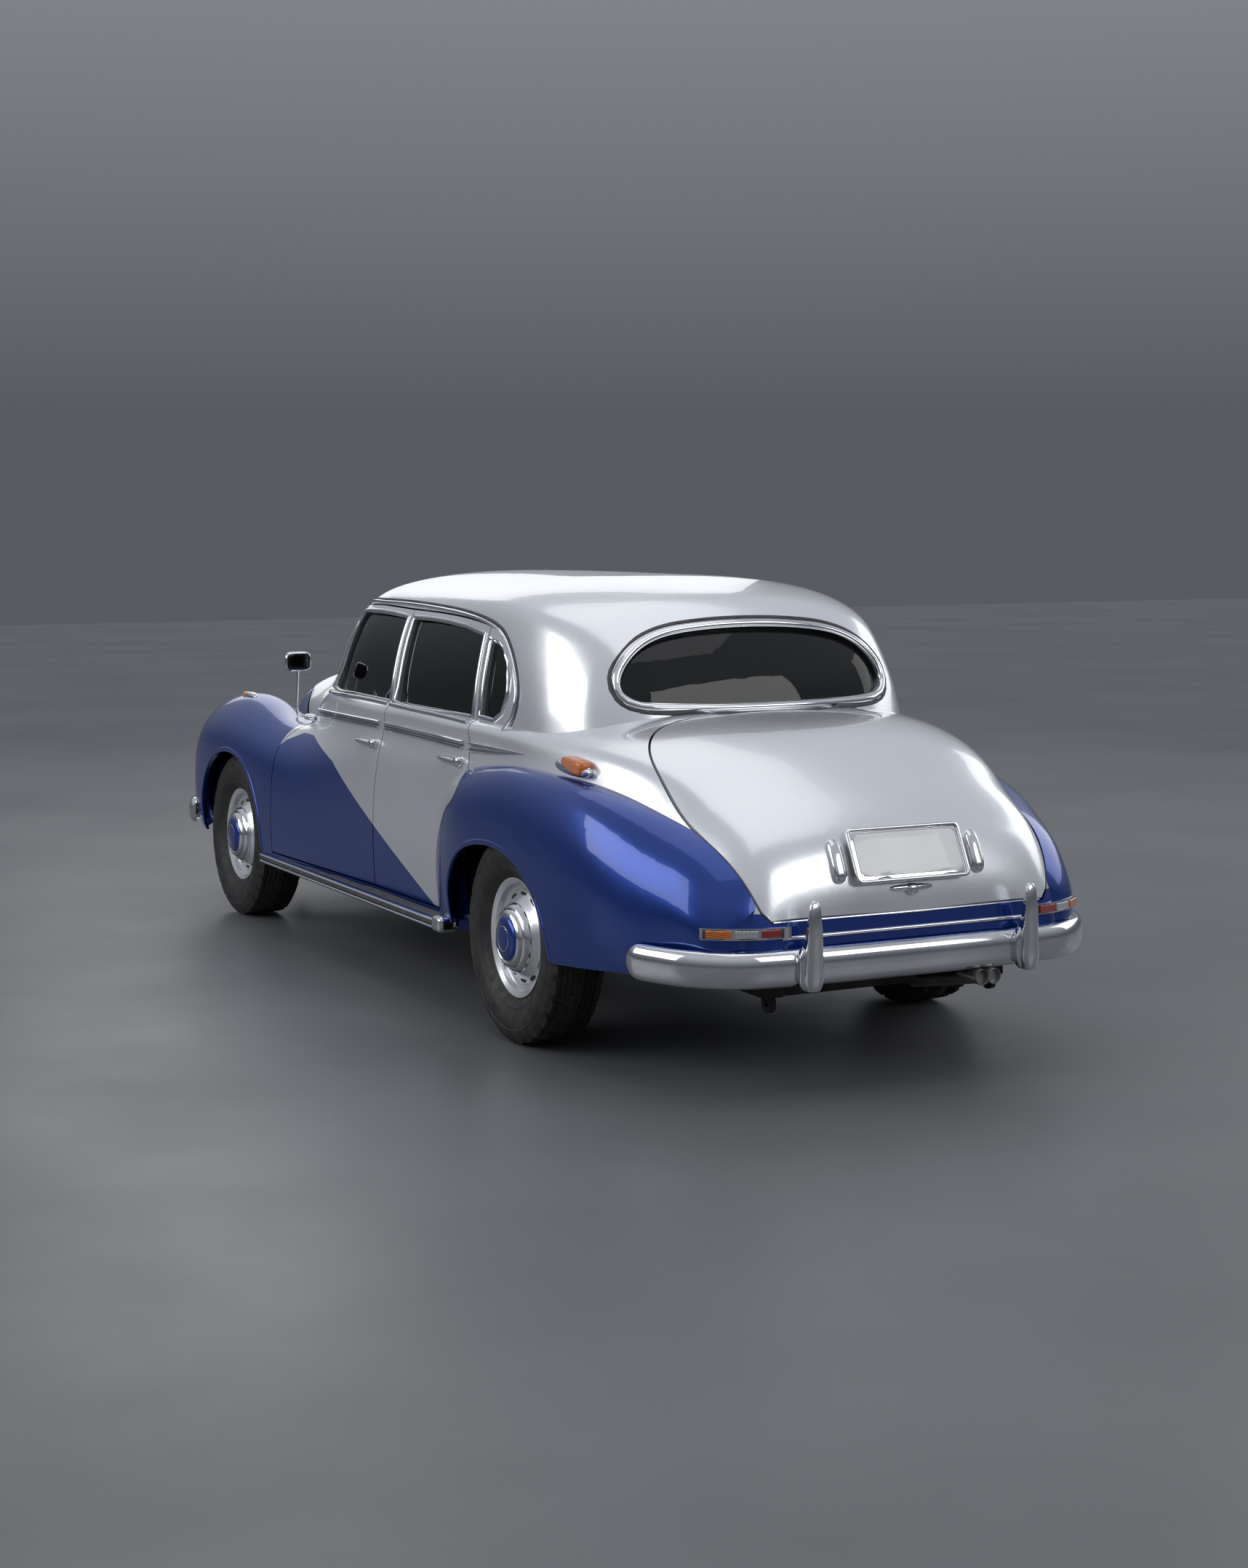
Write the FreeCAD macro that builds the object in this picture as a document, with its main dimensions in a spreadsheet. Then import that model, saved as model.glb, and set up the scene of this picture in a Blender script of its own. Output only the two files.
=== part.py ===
import FreeCAD
import Part
import math
import os
import re
from FreeCAD import Placement, Rotation, Vector

# A large four-door saloon car of the 1950s, in millimetres.
# +Z is up, the front of the car points to -Y and its left side to +X. The origin is on the
# ground, on the centre plane, midway between the bumpers.

DRIVING_SIZES = {
    # whole car
    "overall_length": 5180,
    "overall_width": 1838,
    "overall_height": 1600,
    "wheelbase": 3050,
    "front_overhang": 868,
    # body shell walls and gaps
    "skin_wall": 16,
    "door_wall": 55,
    "roof_wall": 42,
    "wing_wall": 12,
    "shut_gap": 7,
    "seat_clearance": 0.3,
    "glass_depth": 16,
    "glass_thickness": 5,
    "belt_height": 1062,
    "sheet_wall": 12,
    "overrun": 400,
    # wheels
    "track_front": 1508,
    "track_rear": 1572,
    "tyre_diameter": 733,
    "drum_diameter": 280,
    "hub_bore": 41,
    "axle_clearance": 0.5,
    "wheel_house_clearance": 55,
    "kingpin_offset": 105,
    "kingpin_diameter": 44,
    "kingpin_length": 300,
    "axle_tube_diameter": 76,
    "differential_diameter": 270,
    # chassis
    "rail_height": 130,
    "rail_width": 70,
    "rail_base": 207,
    "cross_member": 84,
    "tow_eye_width": 64,
    "tow_eye_thickness": 18,
    "tow_eye_bore": 26,
    "tow_eye_drop": 20,
    "arm_thickness": 28,
    "arm_width": 44,
    # bumpers
    "bumper_height": 118,
    "bumper_depth": 32,
    "bumper_base": 362,
    "overrider_width": 62,
    "overrider_spacing": 828,
    # running boards
    "board_thickness": 42,
    # engine, tank and exhaust
    "engine_width": 520,
    "engine_length": 820,
    "engine_height": 470,
    "engine_base": 370,
    "tank_width": 570,
    "tank_length": 460,
    "tank_height": 150,
    "pipe_diameter": 48,
    "silencer_diameter": 130,
    # cabin
    "seat_width": 1240,
    "rear_seat_width": 1150,
    "seat_spacing": 905,
    "cushion_height": 190,
    "cushion_base": 395,
    "cushion_depth": 520,
    "squab_height": 560,
    "squab_thickness": 150,
    "steering_wheel_diameter": 420,
    "steering_rim_diameter": 24,
    # lamps, plate and grille
    "head_lamp_diameter": 210,
    "plate_width": 430,
    "plate_height": 200,
    "plate_thickness": 6,
    "grille_width": 480,
    "grille_height": 600,
    "grille_depth": 60,
    "grille_frame": 34,
    "grille_bar": 8,
    "grille_pitch": 26,
}

# Sections across the car, each at a place along it in shares of the half length. The points
# go from the sill up to the centre line, in shares of the half width and of the height.
body_shares = [
    (-0.920, [(0.696, 0.294), (0.751, 0.300), (0.794, 0.350), (0.778, 0.400), (0.724, 0.431),
      (0.664, 0.416), (0.626, 0.375), (0.326, 0.325), (0.000, 0.325)]),
    (-0.913, [(0.783, 0.237), (0.854, 0.269), (0.884, 0.359), (0.854, 0.450), (0.751, 0.500),
      (0.658, 0.469), (0.609, 0.400), (0.326, 0.375), (0.000, 0.375)]),
    (-0.888, [(0.871, 0.216), (0.925, 0.269), (0.941, 0.375), (0.903, 0.487), (0.762, 0.556),
      (0.631, 0.519), (0.550, 0.431), (0.326, 0.450), (0.000, 0.463)]),
    (-0.842, [(0.925, 0.211), (0.958, 0.281), (0.968, 0.388), (0.941, 0.512), (0.783, 0.597),
      (0.620, 0.572), (0.490, 0.500), (0.359, 0.600), (0.000, 0.647)]),
    (-0.734, [(0.952, 0.211), (0.972, 0.294), (0.979, 0.400), (0.955, 0.531), (0.800, 0.619),
      (0.631, 0.594), (0.511, 0.544), (0.392, 0.625), (0.000, 0.691)]),
    (-0.618, [(0.958, 0.211), (0.972, 0.294), (0.976, 0.400), (0.953, 0.519), (0.822, 0.603),
      (0.675, 0.588), (0.566, 0.556), (0.435, 0.637), (0.000, 0.706)]),
    (-0.502, [(0.952, 0.211), (0.964, 0.294), (0.964, 0.400), (0.938, 0.500), (0.838, 0.566),
      (0.740, 0.562), (0.664, 0.572), (0.501, 0.653), (0.000, 0.719)]),
    (-0.386, [(0.941, 0.211), (0.949, 0.294), (0.945, 0.400), (0.912, 0.494), (0.838, 0.556),
      (0.778, 0.594), (0.751, 0.650), (0.544, 0.694), (0.000, 0.728)]),
    (-0.232, [(0.919, 0.211), (0.930, 0.294), (0.927, 0.400), (0.905, 0.494), (0.865, 0.562),
      (0.832, 0.625), (0.800, 0.672), (0.544, 0.703), (0.000, 0.728)]),
    (-0.039, [(0.898, 0.211), (0.912, 0.294), (0.916, 0.400), (0.905, 0.494), (0.884, 0.562),
      (0.862, 0.625), (0.829, 0.672), (0.544, 0.706), (0.000, 0.728)]),
    (0.193, [(0.887, 0.211), (0.901, 0.294), (0.909, 0.400), (0.903, 0.494), (0.887, 0.562),
      (0.867, 0.625), (0.836, 0.672), (0.544, 0.706), (0.000, 0.728)]),
    (0.386, [(0.871, 0.211), (0.887, 0.294), (0.894, 0.400), (0.892, 0.494), (0.879, 0.562),
      (0.857, 0.624), (0.822, 0.669), (0.544, 0.703), (0.000, 0.727)]),
    (0.579, [(0.838, 0.211), (0.857, 0.294), (0.868, 0.400), (0.865, 0.494), (0.851, 0.558),
      (0.824, 0.615), (0.768, 0.664), (0.511, 0.706), (0.000, 0.722)]),
    (0.734, [(0.783, 0.216), (0.803, 0.294), (0.814, 0.388), (0.811, 0.472), (0.790, 0.542),
      (0.751, 0.598), (0.677, 0.644), (0.441, 0.680), (0.000, 0.691)]),
    (0.849, [(0.731, 0.228), (0.749, 0.281), (0.753, 0.356), (0.744, 0.431), (0.716, 0.491),
      (0.662, 0.540), (0.568, 0.579), (0.354, 0.606), (0.000, 0.619)]),
    (0.927, [(0.675, 0.237), (0.690, 0.269), (0.692, 0.312), (0.681, 0.370), (0.653, 0.425),
      (0.596, 0.472), (0.504, 0.501), (0.308, 0.520), (0.000, 0.528)]),
    (0.958, [(0.626, 0.241), (0.638, 0.259), (0.638, 0.287), (0.622, 0.326), (0.593, 0.359),
      (0.535, 0.389), (0.435, 0.409), (0.250, 0.422), (0.000, 0.426)]),
    (0.965, [(0.593, 0.241), (0.601, 0.250), (0.596, 0.266), (0.579, 0.281), (0.544, 0.297),
      (0.484, 0.310), (0.386, 0.321), (0.218, 0.328), (0.000, 0.330)]),
]
roof_shares = [
    (-0.380, 0.50, [(0.718, 0.625), (0.713, 0.700), (0.688, 0.806), (0.642, 0.881), (0.544, 0.925),
      (0.305, 0.950), (0.000, 0.958)]),
    (-0.309, 0.35, [(0.767, 0.625), (0.758, 0.700), (0.727, 0.806), (0.679, 0.889), (0.575, 0.946),
      (0.318, 0.976), (0.000, 0.985)]),
    (-0.174, 0.15, [(0.803, 0.625), (0.792, 0.700), (0.760, 0.806), (0.707, 0.895), (0.596, 0.958),
      (0.329, 0.990), (0.000, 0.998)]),
    (0.000, 0.00, [(0.824, 0.625), (0.813, 0.700), (0.779, 0.806), (0.725, 0.899), (0.612, 0.963),
      (0.339, 0.994), (0.000, 1.000)]),
    (0.193, 0.00, [(0.827, 0.625), (0.816, 0.700), (0.785, 0.806), (0.738, 0.899), (0.642, 0.963),
      (0.365, 0.995), (0.000, 1.000)]),
    (0.367, 0.00, [(0.824, 0.625), (0.814, 0.700), (0.787, 0.802), (0.749, 0.890), (0.659, 0.956),
      (0.381, 0.988), (0.000, 0.996)]),
    (0.471, 0.00, [(0.811, 0.625), (0.798, 0.699), (0.769, 0.787), (0.723, 0.866), (0.627, 0.929),
      (0.359, 0.964), (0.000, 0.975)]),
    (0.541, 0.00, [(0.761, 0.625), (0.748, 0.686), (0.711, 0.764), (0.651, 0.833), (0.551, 0.887),
      (0.316, 0.922), (0.000, 0.934)]),
    (0.579, 0.00, [(0.688, 0.625), (0.670, 0.670), (0.627, 0.730), (0.564, 0.784), (0.470, 0.825),
      (0.263, 0.851), (0.000, 0.860)]),
    (0.602, 0.00, [(0.596, 0.625), (0.575, 0.654), (0.529, 0.694), (0.466, 0.728), (0.375, 0.752),
      (0.209, 0.770), (0.000, 0.776)]),
    (0.614, 0.00, [(0.495, 0.613), (0.470, 0.628), (0.422, 0.647), (0.357, 0.664), (0.277, 0.676),
      (0.152, 0.685), (0.000, 0.689)]),
]
wing_shares = [
    (0.195, [(0.871, 0.212), (0.884, 0.281), (0.890, 0.375), (0.881, 0.450), (0.854, 0.487),
      (0.805, 0.509)]),
    (0.247, [(0.912, 0.212), (0.936, 0.281), (0.940, 0.375), (0.925, 0.459), (0.890, 0.516),
      (0.832, 0.539)]),
    (0.309, [(0.949, 0.211), (0.974, 0.281), (0.978, 0.375), (0.962, 0.472), (0.916, 0.542),
      (0.840, 0.568)]),
    (0.386, [(0.975, 0.206), (0.992, 0.281), (0.997, 0.375), (0.982, 0.478), (0.936, 0.557),
      (0.843, 0.584)]),
    (0.483, [(0.979, 0.205), (0.996, 0.281), (1.000, 0.375), (0.987, 0.480), (0.945, 0.566),
      (0.849, 0.593)]),
    (0.579, [(0.979, 0.206), (0.996, 0.281), (0.999, 0.375), (0.985, 0.478), (0.940, 0.564),
      (0.838, 0.590)]),
    (0.676, [(0.971, 0.214), (0.986, 0.284), (0.989, 0.372), (0.972, 0.470), (0.921, 0.551),
      (0.812, 0.580)]),
    (0.772, [(0.925, 0.225), (0.951, 0.287), (0.958, 0.366), (0.936, 0.453), (0.874, 0.524),
      (0.751, 0.552)]),
    (0.849, [(0.865, 0.236), (0.888, 0.291), (0.892, 0.356), (0.867, 0.426), (0.803, 0.486),
      (0.677, 0.516)]),
    (0.907, [(0.762, 0.250), (0.801, 0.291), (0.818, 0.341), (0.794, 0.396), (0.736, 0.445),
      (0.616, 0.474)]),
    (0.934, [(0.713, 0.259), (0.751, 0.291), (0.768, 0.328), (0.744, 0.371), (0.691, 0.409),
      (0.588, 0.439)]),
    (0.951, [(0.631, 0.270), (0.659, 0.292), (0.683, 0.318), (0.670, 0.345), (0.637, 0.370),
      (0.550, 0.395)]),
]
# Outlines on the side: along the car, up, and the half width there.
front_door_shares = [
    [(-0.4517, 0.2238, 0.9619)],
    [(-0.4521, 0.3750, 0.9663)],
    [(-0.4517, 0.5000, 0.9445)],
    [(-0.4432, 0.5425, 0.8705), (-0.4247, 0.5800, 0.8237), (-0.3996, 0.6156, 0.8052),
      (-0.3637, 0.6575, 0.7780)],
    [(-0.2981, 0.8825, 0.6768)],
    [(-0.2838, 0.9044, 0.6692)],
    [(-0.2394, 0.9075, 0.6855), (-0.1737, 0.9094, 0.6964), (-0.1004, 0.9081, 0.7073),
      (-0.0290, 0.9062, 0.7127)],
    [(-0.0290, 0.2238, 0.8988)],
]
# The rear door ends along the front of the wing.
rear_door_shares = [
    [(-0.0263, 0.2238, 0.8988)],
    [(-0.0263, 0.9062, 0.7127)],
    [(0.0579, 0.9050, 0.7127), (0.1274, 0.9025, 0.7127), (0.2085, 0.8962, 0.7127),
      (0.2865, 0.8850, 0.7182)],
    [(0.2903, 0.6625, 0.8270)],
    [(0.2992, 0.6250, 0.8596), (0.3135, 0.5437, 0.8945), (0.3069, 0.4938, 0.9032),
      (0.2780, 0.4625, 0.9053), (0.2510, 0.4000, 0.9064), (0.2317, 0.3250, 0.9010),
      (0.2224, 0.2238, 0.8868)],
]
# Windows in the side: along the car, up, and the half width there
front_window_shares = [
    [(-0.3413, 0.6813, 0.7671)],
    [(-0.2849, 0.8738, 0.6834)],
    [(-0.2703, 0.8869, 0.6746)],
    [(-0.2355, 0.8888, 0.6855), (-0.1737, 0.8900, 0.6964), (-0.1081, 0.8888, 0.7073),
      (-0.0425, 0.8869, 0.7127)],
    [(-0.0425, 0.6813, 0.8107)],
]
rear_window_shares = [
    [(-0.0127, 0.6813, 0.8107)],
    [(-0.0127, 0.8869, 0.7127)],
    [(0.0579, 0.8856, 0.7127), (0.1274, 0.8831, 0.7127), (0.2008, 0.8769, 0.7127),
      (0.2726, 0.8662, 0.7182)],
    [(0.2764, 0.6813, 0.8107)],
]
quarter_window_shares = [
    [(0.3035, 0.6825, 0.8107)],
    [(0.3012, 0.8575, 0.7236)],
    [(0.3320, 0.8488, 0.7236), (0.3591, 0.8219, 0.7345), (0.3764, 0.7812, 0.7563),
      (0.3803, 0.7375, 0.7726), (0.3707, 0.7000, 0.7889), (0.3494, 0.6825, 0.7998)],
]
# Wheel arches: along the car and up
front_arch_shares = [
    [(-0.4988, 0.1250)],
    [(-0.5019, 0.2062)],
    [(-0.5135, 0.3000), (-0.5425, 0.3825), (-0.5907, 0.4412), (-0.6564, 0.4656), (-0.7220, 0.4512),
      (-0.7799, 0.4000), (-0.8185, 0.3187), (-0.8340, 0.2156)],
    [(-0.8359, 0.1250)],
]
rear_arch_shares = [
    [(0.3050, 0.1250)],
    [(0.3069, 0.2125)],
    [(0.3135, 0.2938), (0.3398, 0.3594), (0.3861, 0.4012), (0.4479, 0.4200), (0.5135, 0.4156),
      (0.5676, 0.3875), (0.6139, 0.3312), (0.6390, 0.2625), (0.6456, 0.2062)],
    [(0.6471, 0.1250)],
]
# The bonnet seen from above, across and along the car
bonnet_shares = [
    [(0.0000, -0.8552)],
    [(0.2524, -0.8552)],
    [(0.2851, -0.8456), (0.3591, -0.8147), (0.4353, -0.7683), (0.5027, -0.7066), (0.5550, -0.6525),
      (0.5876, -0.6023)],
    [(0.5963, -0.4413)],
    [(0.0000, -0.4413)],
]
# The boot lid seen from above, across the car and along its sloping plane
boot_lid_shares = [
    [(0.0000, 0.1359)],
    [(0.2176, 0.1382), (0.4135, 0.1475), (0.5550, 0.1699), (0.6420, 0.2046), (0.6877, 0.2471),
      (0.7008, 0.3012), (0.6942, 0.3591), (0.6659, 0.4208), (0.6257, 0.4788), (0.5930, 0.5135)],
    [(0.5658, 0.5243)],
    [(0.0000, 0.5274)],
]
# The back window and the windscreen, across the car and up
back_window_shares = [
    [(0.0000, 0.7325)],
    [(0.3264, 0.7350), (0.5223, 0.7412)],
    [(0.5767, 0.7594), (0.5822, 0.7875), (0.5441, 0.8250), (0.4679, 0.8594), (0.3482, 0.8825),
      (0.1741, 0.8938), (0.0000, 0.8969)],
]
windscreen_shares = [
    [(0.0000, 0.7388)],
    [(0.4570, 0.7188), (0.6529, 0.7000)],
    [(0.6398, 0.7500), (0.6094, 0.8125), (0.5713, 0.8688)],
    [(0.5223, 0.8969), (0.2720, 0.9137), (0.0000, 0.9187)],
]
# The bumpers' outer lines from above, across and along the car
bumper_shares = [
    [(0.0000, 0.9838)],
    [(0.3373, 0.9822), (0.5658, 0.9761), (0.6964, 0.9645), (0.7998, 0.9382), (0.8705, 0.9073),
      (0.9195, 0.8687), (0.9489, 0.8340)],
]
front_bumper_shares = [
    [(0.0000, 0.9838)],
    [(0.3808, 0.9822), (0.6529, 0.9753), (0.8052, 0.9598), (0.9140, 0.9305), (0.9717, 0.8919),
      (0.9924, 0.8610)],
]
# An overrider from the side, along the car and up
overrider_shares = [
    [(0.9830, 0.2188)],
    [(0.9946, 0.2213), (0.9992, 0.2500), (1.0000, 0.2938), (0.9992, 0.3438), (0.9977, 0.3781),
      (0.9931, 0.3975)],
    [(0.9892, 0.3962)],
    [(0.9876, 0.3750), (0.9861, 0.3500), (0.9830, 0.3250), (0.9768, 0.3063)],
    [(0.9768, 0.2263)],
]
# Half of the tyre's section, across and outwards in shares of its radius
tyre_shares = [
    [(0.1839, 0.5307), (0.1918, 0.5697)],
    [(0.2783, 0.6821), (0.3042, 0.7967), (0.2810, 0.9222)],
    [(0.2128, 0.9823), (0.0000, 1.0000)],
]
# The wheel's outer side from the rim to its middle, and its inner side back to the rim
wheel_outer_shares = [
    [(0.2074, 0.5648)],
    [(0.2074, 0.5539)],
    [(0.1855, 0.5075)],
    [(0.1310, 0.5020)],
    [(0.1146, 0.4502)],
    [(0.1255, 0.4093), (0.1801, 0.3492), (0.2128, 0.3056)],
    [(0.2619, 0.2838), (0.3220, 0.1692), (0.3411, 0.0000)],
]
wheel_inner_shares = [
    [(0.0819, 0.0000)],
    [(0.0819, 0.0559)],
    [(-0.1364, 0.0559)],
    [(-0.1364, 0.1637)],
    [(-0.0273, 0.1637)],
    [(-0.0273, 0.3411)],
    [(-0.1419, 0.3411)],
    [(-0.1419, 0.3820)],
    [(-0.0055, 0.3820)],
    [(0.0600, 0.3874)],
    [(0.0764, 0.4093)],
    [(0.0600, 0.4475)],
    [(-0.0819, 0.4475)],
    [(-0.1228, 0.5020)],
    [(-0.1855, 0.5075)],
    [(-0.2074, 0.5539)],
    [(-0.2074, 0.5648)],
    [(-0.1937, 0.5648)],
    [(-0.1855, 0.5280)],
    [(0.1855, 0.5280)],
    [(0.1937, 0.5648)],
]

half = 0.5
full_turn = 360
wing_root_share = 0.13
door_back_share = 0.15
door_up_share = 0.10
door_inner_share = 0.575
rear_house_share = 0.655
plan_level_share = 0.25
back_window_share = 0.4646
head_share = 0.94
cantrail_share = 0.913
sill_inner_share = 0.72
sill_top_share = 0.262
arch_inner_share = 0.87
grille_base_share = 0.24
# Chassis, lamps and fittings, in shares of the half width, the half length and the height
rail_plan_shares = [(0.365, -0.8945), (0.365, -0.5535), (0.17, -0.2669), (0.15, 0.1186), (0.44, 0.3954),
                    (0.468, 0.5931), (0.468, 0.9074)]
rail_rise_shares = [(-0.8945, 0.0), (0.3904, 0.0), (0.4498, 0.130), (0.4633, 0.133), (0.6227, 0.133),
                    (0.6919, 0.056), (0.9074, 0.056)]
cross_member_shares = [(-0.85, 0.36, 0.006), (-0.682, 0.36, 0.0), (-0.0494, 0.17, 0.010),
                       (0.8698, 0.46, 0.083)]
floor_rise_shares = [(-0.4492, 0.0), (0.3707, 0.0), (0.4201, 0.133), (0.6332, 0.133), (0.7066, 0.056),
                     (0.942, 0.056)]
apron_share = 0.462
apron_top_share = 0.55
tower_share = 0.455
iron_reach_share = 0.9736
board_inner_share = 0.76
board_outer_share = 0.963
board_front_share = 0.1631
board_rear_share = 0.2352
head_lamp_share = (0.76, -0.9242, 0.455)
lamp_depth_share = 0.0297
wing_pod_share = (0.8, -0.7146, 0.617)
wing_pod_size_share = (0.05, 0.17, 0.04)
tail_lamp_shares = [(0.500, 0.9683), (0.610, 0.9653), (0.708, 0.9517), (0.790, 0.9290), (0.790, 0.8900),
                    (0.500, 0.9200)]
tail_lamp_base_share = 0.322
tail_lamp_top_share = 0.3445
indicator_share = (0.820, 0.6042, 0.611)
indicator_size_share = (0.075, 0.252, 0.065)
door_handle_shares = {"front": (0.882, -0.0792, 0.573), "rear": (0.880, 0.2475, 0.576)}
handle_size_share = (0.055, 0.235, 0.026)
plate_share = (0, 0.9558, 0.462)
plate_tilt = 26
plate_pod_share = (0.29, 0.9449, 0.458)
plate_pod_size_share = (0.045, 0.06, 0.15)
lid_handle_share = (0, 0.9607, 0.4)
lid_handle_size_share = (0.18, 0.05, 0.025)
mirror_foot_share = (0.775, -0.4398, 0.588)
mirror_head_share = (0.865, -0.4102, 0.745)
mirror_size_share = (0.125, 0.035, 0.095)
mirror_foot_size_share = (0.05, 0.09, 0.03)
dash_low_share = (-0.72, -0.3954, 0.555)
dash_high_share = (0.70, -0.3459, 0.638)
steering_hub_share = (0.4, -0.2422, 0.59)
column_tilt = 30
exhaust_shares = [(-0.61, -0.4349, 0.164), (-0.61, 0.7314, 0.164), (-0.264, 0.8301, 0.164),
                  (-0.264, 0.9726, 0.2106)]
silencer_share = 0.2175
lid_pivot_share = (0.6243, 0.7163)
lid_play_angle = 3
nose_end_share = 0.9172
bumper_end_share = 0.6
bumper_section_shares = [(0.0, -0.46), (0.45, -0.5), (0.85, -0.33), (1.0, 0.0), (0.85, 0.33), (0.45, 0.5),
                         (0.0, 0.46)]
column_share = 0.75
jacket_share = 1.25
seat_base_share = 0.8
front_seat_share = 0.52
rear_seat_share = 0.48
engine_place_share = 0.4

doc = FreeCAD.newDocument("saloon_car")
sheet = doc.addObject("Spreadsheet::Sheet", "sizes")
for row, (alias, value) in enumerate(DRIVING_SIZES.items(), start=1):
    sheet.set("A%d" % row, alias)
    sheet.set("B%d" % row, str(value))
    sheet.setAlias("B%d" % row, alias)
doc.recompute()


def mm(alias):
    """A driving size as the sheet holds it."""
    return float(sheet.get(alias))


half_length = mm("overall_length") / 2
half_width = mm("overall_width") / 2
height = mm("overall_height")
overrun = mm("overrun")
gap = mm("shut_gap")
seat_clearance = mm("seat_clearance")
wheel_radius = mm("tyre_diameter") / 2
front_axle_y = mm("front_overhang") - half_length
rear_axle_y = front_axle_y + mm("wheelbase")
house_radius = wheel_radius + mm("wheel_house_clearance")
door_depth = mm("door_wall") + gap
plate_wall = mm("sheet_wall")
rail_half = mm("rail_width") / 2
rail_top = mm("rail_base") + mm("rail_height")
floor_base = rail_top + seat_clearance
roof_depth = mm("roof_wall") + gap


def bound(obj, formulas):
    """Bind properties to formulas in which each alias stands for its cell."""
    for prop, text in formulas.items():
        words = re.sub(r"[a-z_]*[a-z]", lambda found: "sizes." + found.group()
                       if found.group() in DRIVING_SIZES else found.group(), text)
        obj.setExpression(prop, words)
    return obj


def feature(name, shape):
    """A document object that holds a shape made by this file's functions."""
    made = doc.addObject("Part::Feature", name)
    made.Shape = shape
    made.Label = name
    return made


def mirrored(shape):
    """The same piece on the other side of the car."""
    return shape.mirror(Vector(0, 0, 0), Vector(1, 0, 0))


def both(shape):
    """A left-hand piece with its right-hand twin."""
    return Part.makeCompound([shape, mirrored(shape)])


def smooth_edge(points):
    """One smooth curve through points that are evenly spaced along it."""
    last = len(points) - 1
    curve = Part.BSplineCurve()
    curve.interpolate(Points=points, Parameters=[place / last for place in range(last + 1)])
    return curve.toShape()


def closed_face(points):
    return Part.Face(Part.makePolygon(points + [points[0]]))


def prism(points, run):
    return closed_face(points).extrude(run)


def block(low, high):
    size = high - low
    return Part.makeBox(size.x, size.y, size.z, low)


def section(place, half, lean=0.0, lean_from=0.0):
    """A closed section across the car: a smooth outline over a straight base."""
    left = [Vector(x, place + lean * (z - lean_from), z) for x, z in half]
    right = [Vector(-point.x, point.y, point.z) for point in reversed(left[:-1])]
    return Part.Wire([smooth_edge(left + right), Part.makeLine(right[-1], left[0])])


def inset(half, wall, base_drop):
    """A half outline moved inwards by a wall, with its base lowered."""
    moved = []
    last = len(half) - 1
    for index, (x, z) in enumerate(half):
        if index == 0:
            moved.append((x - wall, z - base_drop))
        elif index == last:
            moved.append((0.0, z - wall))
        else:
            run_x = half[index + 1][0] - half[index - 1][0]
            run_z = half[index + 1][1] - half[index - 1][1]
            run = math.hypot(run_x, run_z)
            moved.append((x - wall * run_z / run, z + wall * run_x / run))
    return moved


def scaled(half):
    return [(x * half_width, z * height) for x, z in half]


def body_form(wall):
    """The lower body, grown inwards by a wall and open below where it has one."""
    first = body_shares[0][0] * half_length
    last = body_shares[-1][0] * half_length
    shortened = (last - first - 2 * wall) / (last - first)
    wires = []
    for place, half_outline in body_shares:
        y = first + wall + (place * half_length - first) * shortened
        outline = inset(scaled(half_outline), wall, wall) if wall else scaled(half_outline)
        wires.append(section(y, outline))
    return Part.makeLoft(wires, True, False)


def roof_form(wall):
    """The greenhouse, whose first section leans back as the windscreen does."""
    lean_from = mm("belt_height")
    first = roof_shares[0][0] * half_length
    last = roof_shares[-1][0] * half_length
    shortened = (last - first - 2 * wall) / (last - first)
    wires = []
    for place, lean, half_outline in roof_shares:
        y = first + wall + (place * half_length - first) * shortened
        outline = inset(scaled(half_outline), wall, wall) if wall else scaled(half_outline)
        wires.append(section(y, outline, lean, lean_from))
    return Part.makeLoft(wires, True, False)


def wing_form(wall):
    """A rear wing's bulb outside the body, on the left side."""
    wires = []
    for place, half_outline in wing_shares:
        outline = scaled(half_outline)
        y = place * half_length - wall
        points = []
        for index, (x, z) in enumerate(outline):
            before = outline[max(index - 1, 0)]
            after = outline[min(index + 1, len(outline) - 1)]
            run_x = after[0] - before[0]
            run_z = after[1] - before[1]
            run = math.hypot(run_x, run_z)
            points.append(Vector(x - wall * run_z / run, y, z + wall * run_x / run))
        root = outline[-1][0] - half_width * wing_root_share - wall
        base = Vector(points[0].x, y, points[0].z - wall)
        inner_top = Vector(root, y, points[-1].z)
        inner_base = Vector(root, y, base.z)
        edges = [smooth_edge(points), Part.makeLine(points[-1], inner_top),
                 Part.makeLine(inner_top, inner_base), Part.makeLine(inner_base, base)]
        if wall:
            edges.append(Part.makeLine(base, points[0]))
        wires.append(Part.Wire(edges))
    return Part.makeLoft(wires, True, False)


# Ways of the moving panels: the shut faces of the doors run outwards, back and up.
door_run = Vector(1, door_back_share, door_up_share)
lid_run = Vector(0, math.sqrt(half), math.sqrt(half))
inner_plane = half_width * door_inner_share


def grown_runs(runs, amount):
    """The runs of a flat outline, each point moved outwards along its corner's bisector."""
    points = [point for run in runs for point in run]
    if points[0].isEqual(points[-1], seat_clearance):
        points = points[:-1]
    middle = sum(points, Vector(0, 0, 0)) / len(points)
    turn = sum(((a - middle).cross(b - middle) for a, b in zip(points, points[1:] + points[:1])),
               Vector(0, 0, 0)).normalize()
    moved = []
    for before, here, after in zip(points[-1:] + points[:-1], points, points[1:] + points[:1]):
        first = (here - before).cross(turn).normalize()
        second = (after - here).cross(turn).normalize()
        bisector = (first + second).normalize()
        moved.append(here + bisector * (amount / bisector.dot(first)))
    moved.append(moved[0])
    grown = []
    taken = 0
    for run in runs:
        grown.append(moved[taken:taken + len(run)])
        taken += len(run)
    return grown


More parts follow.
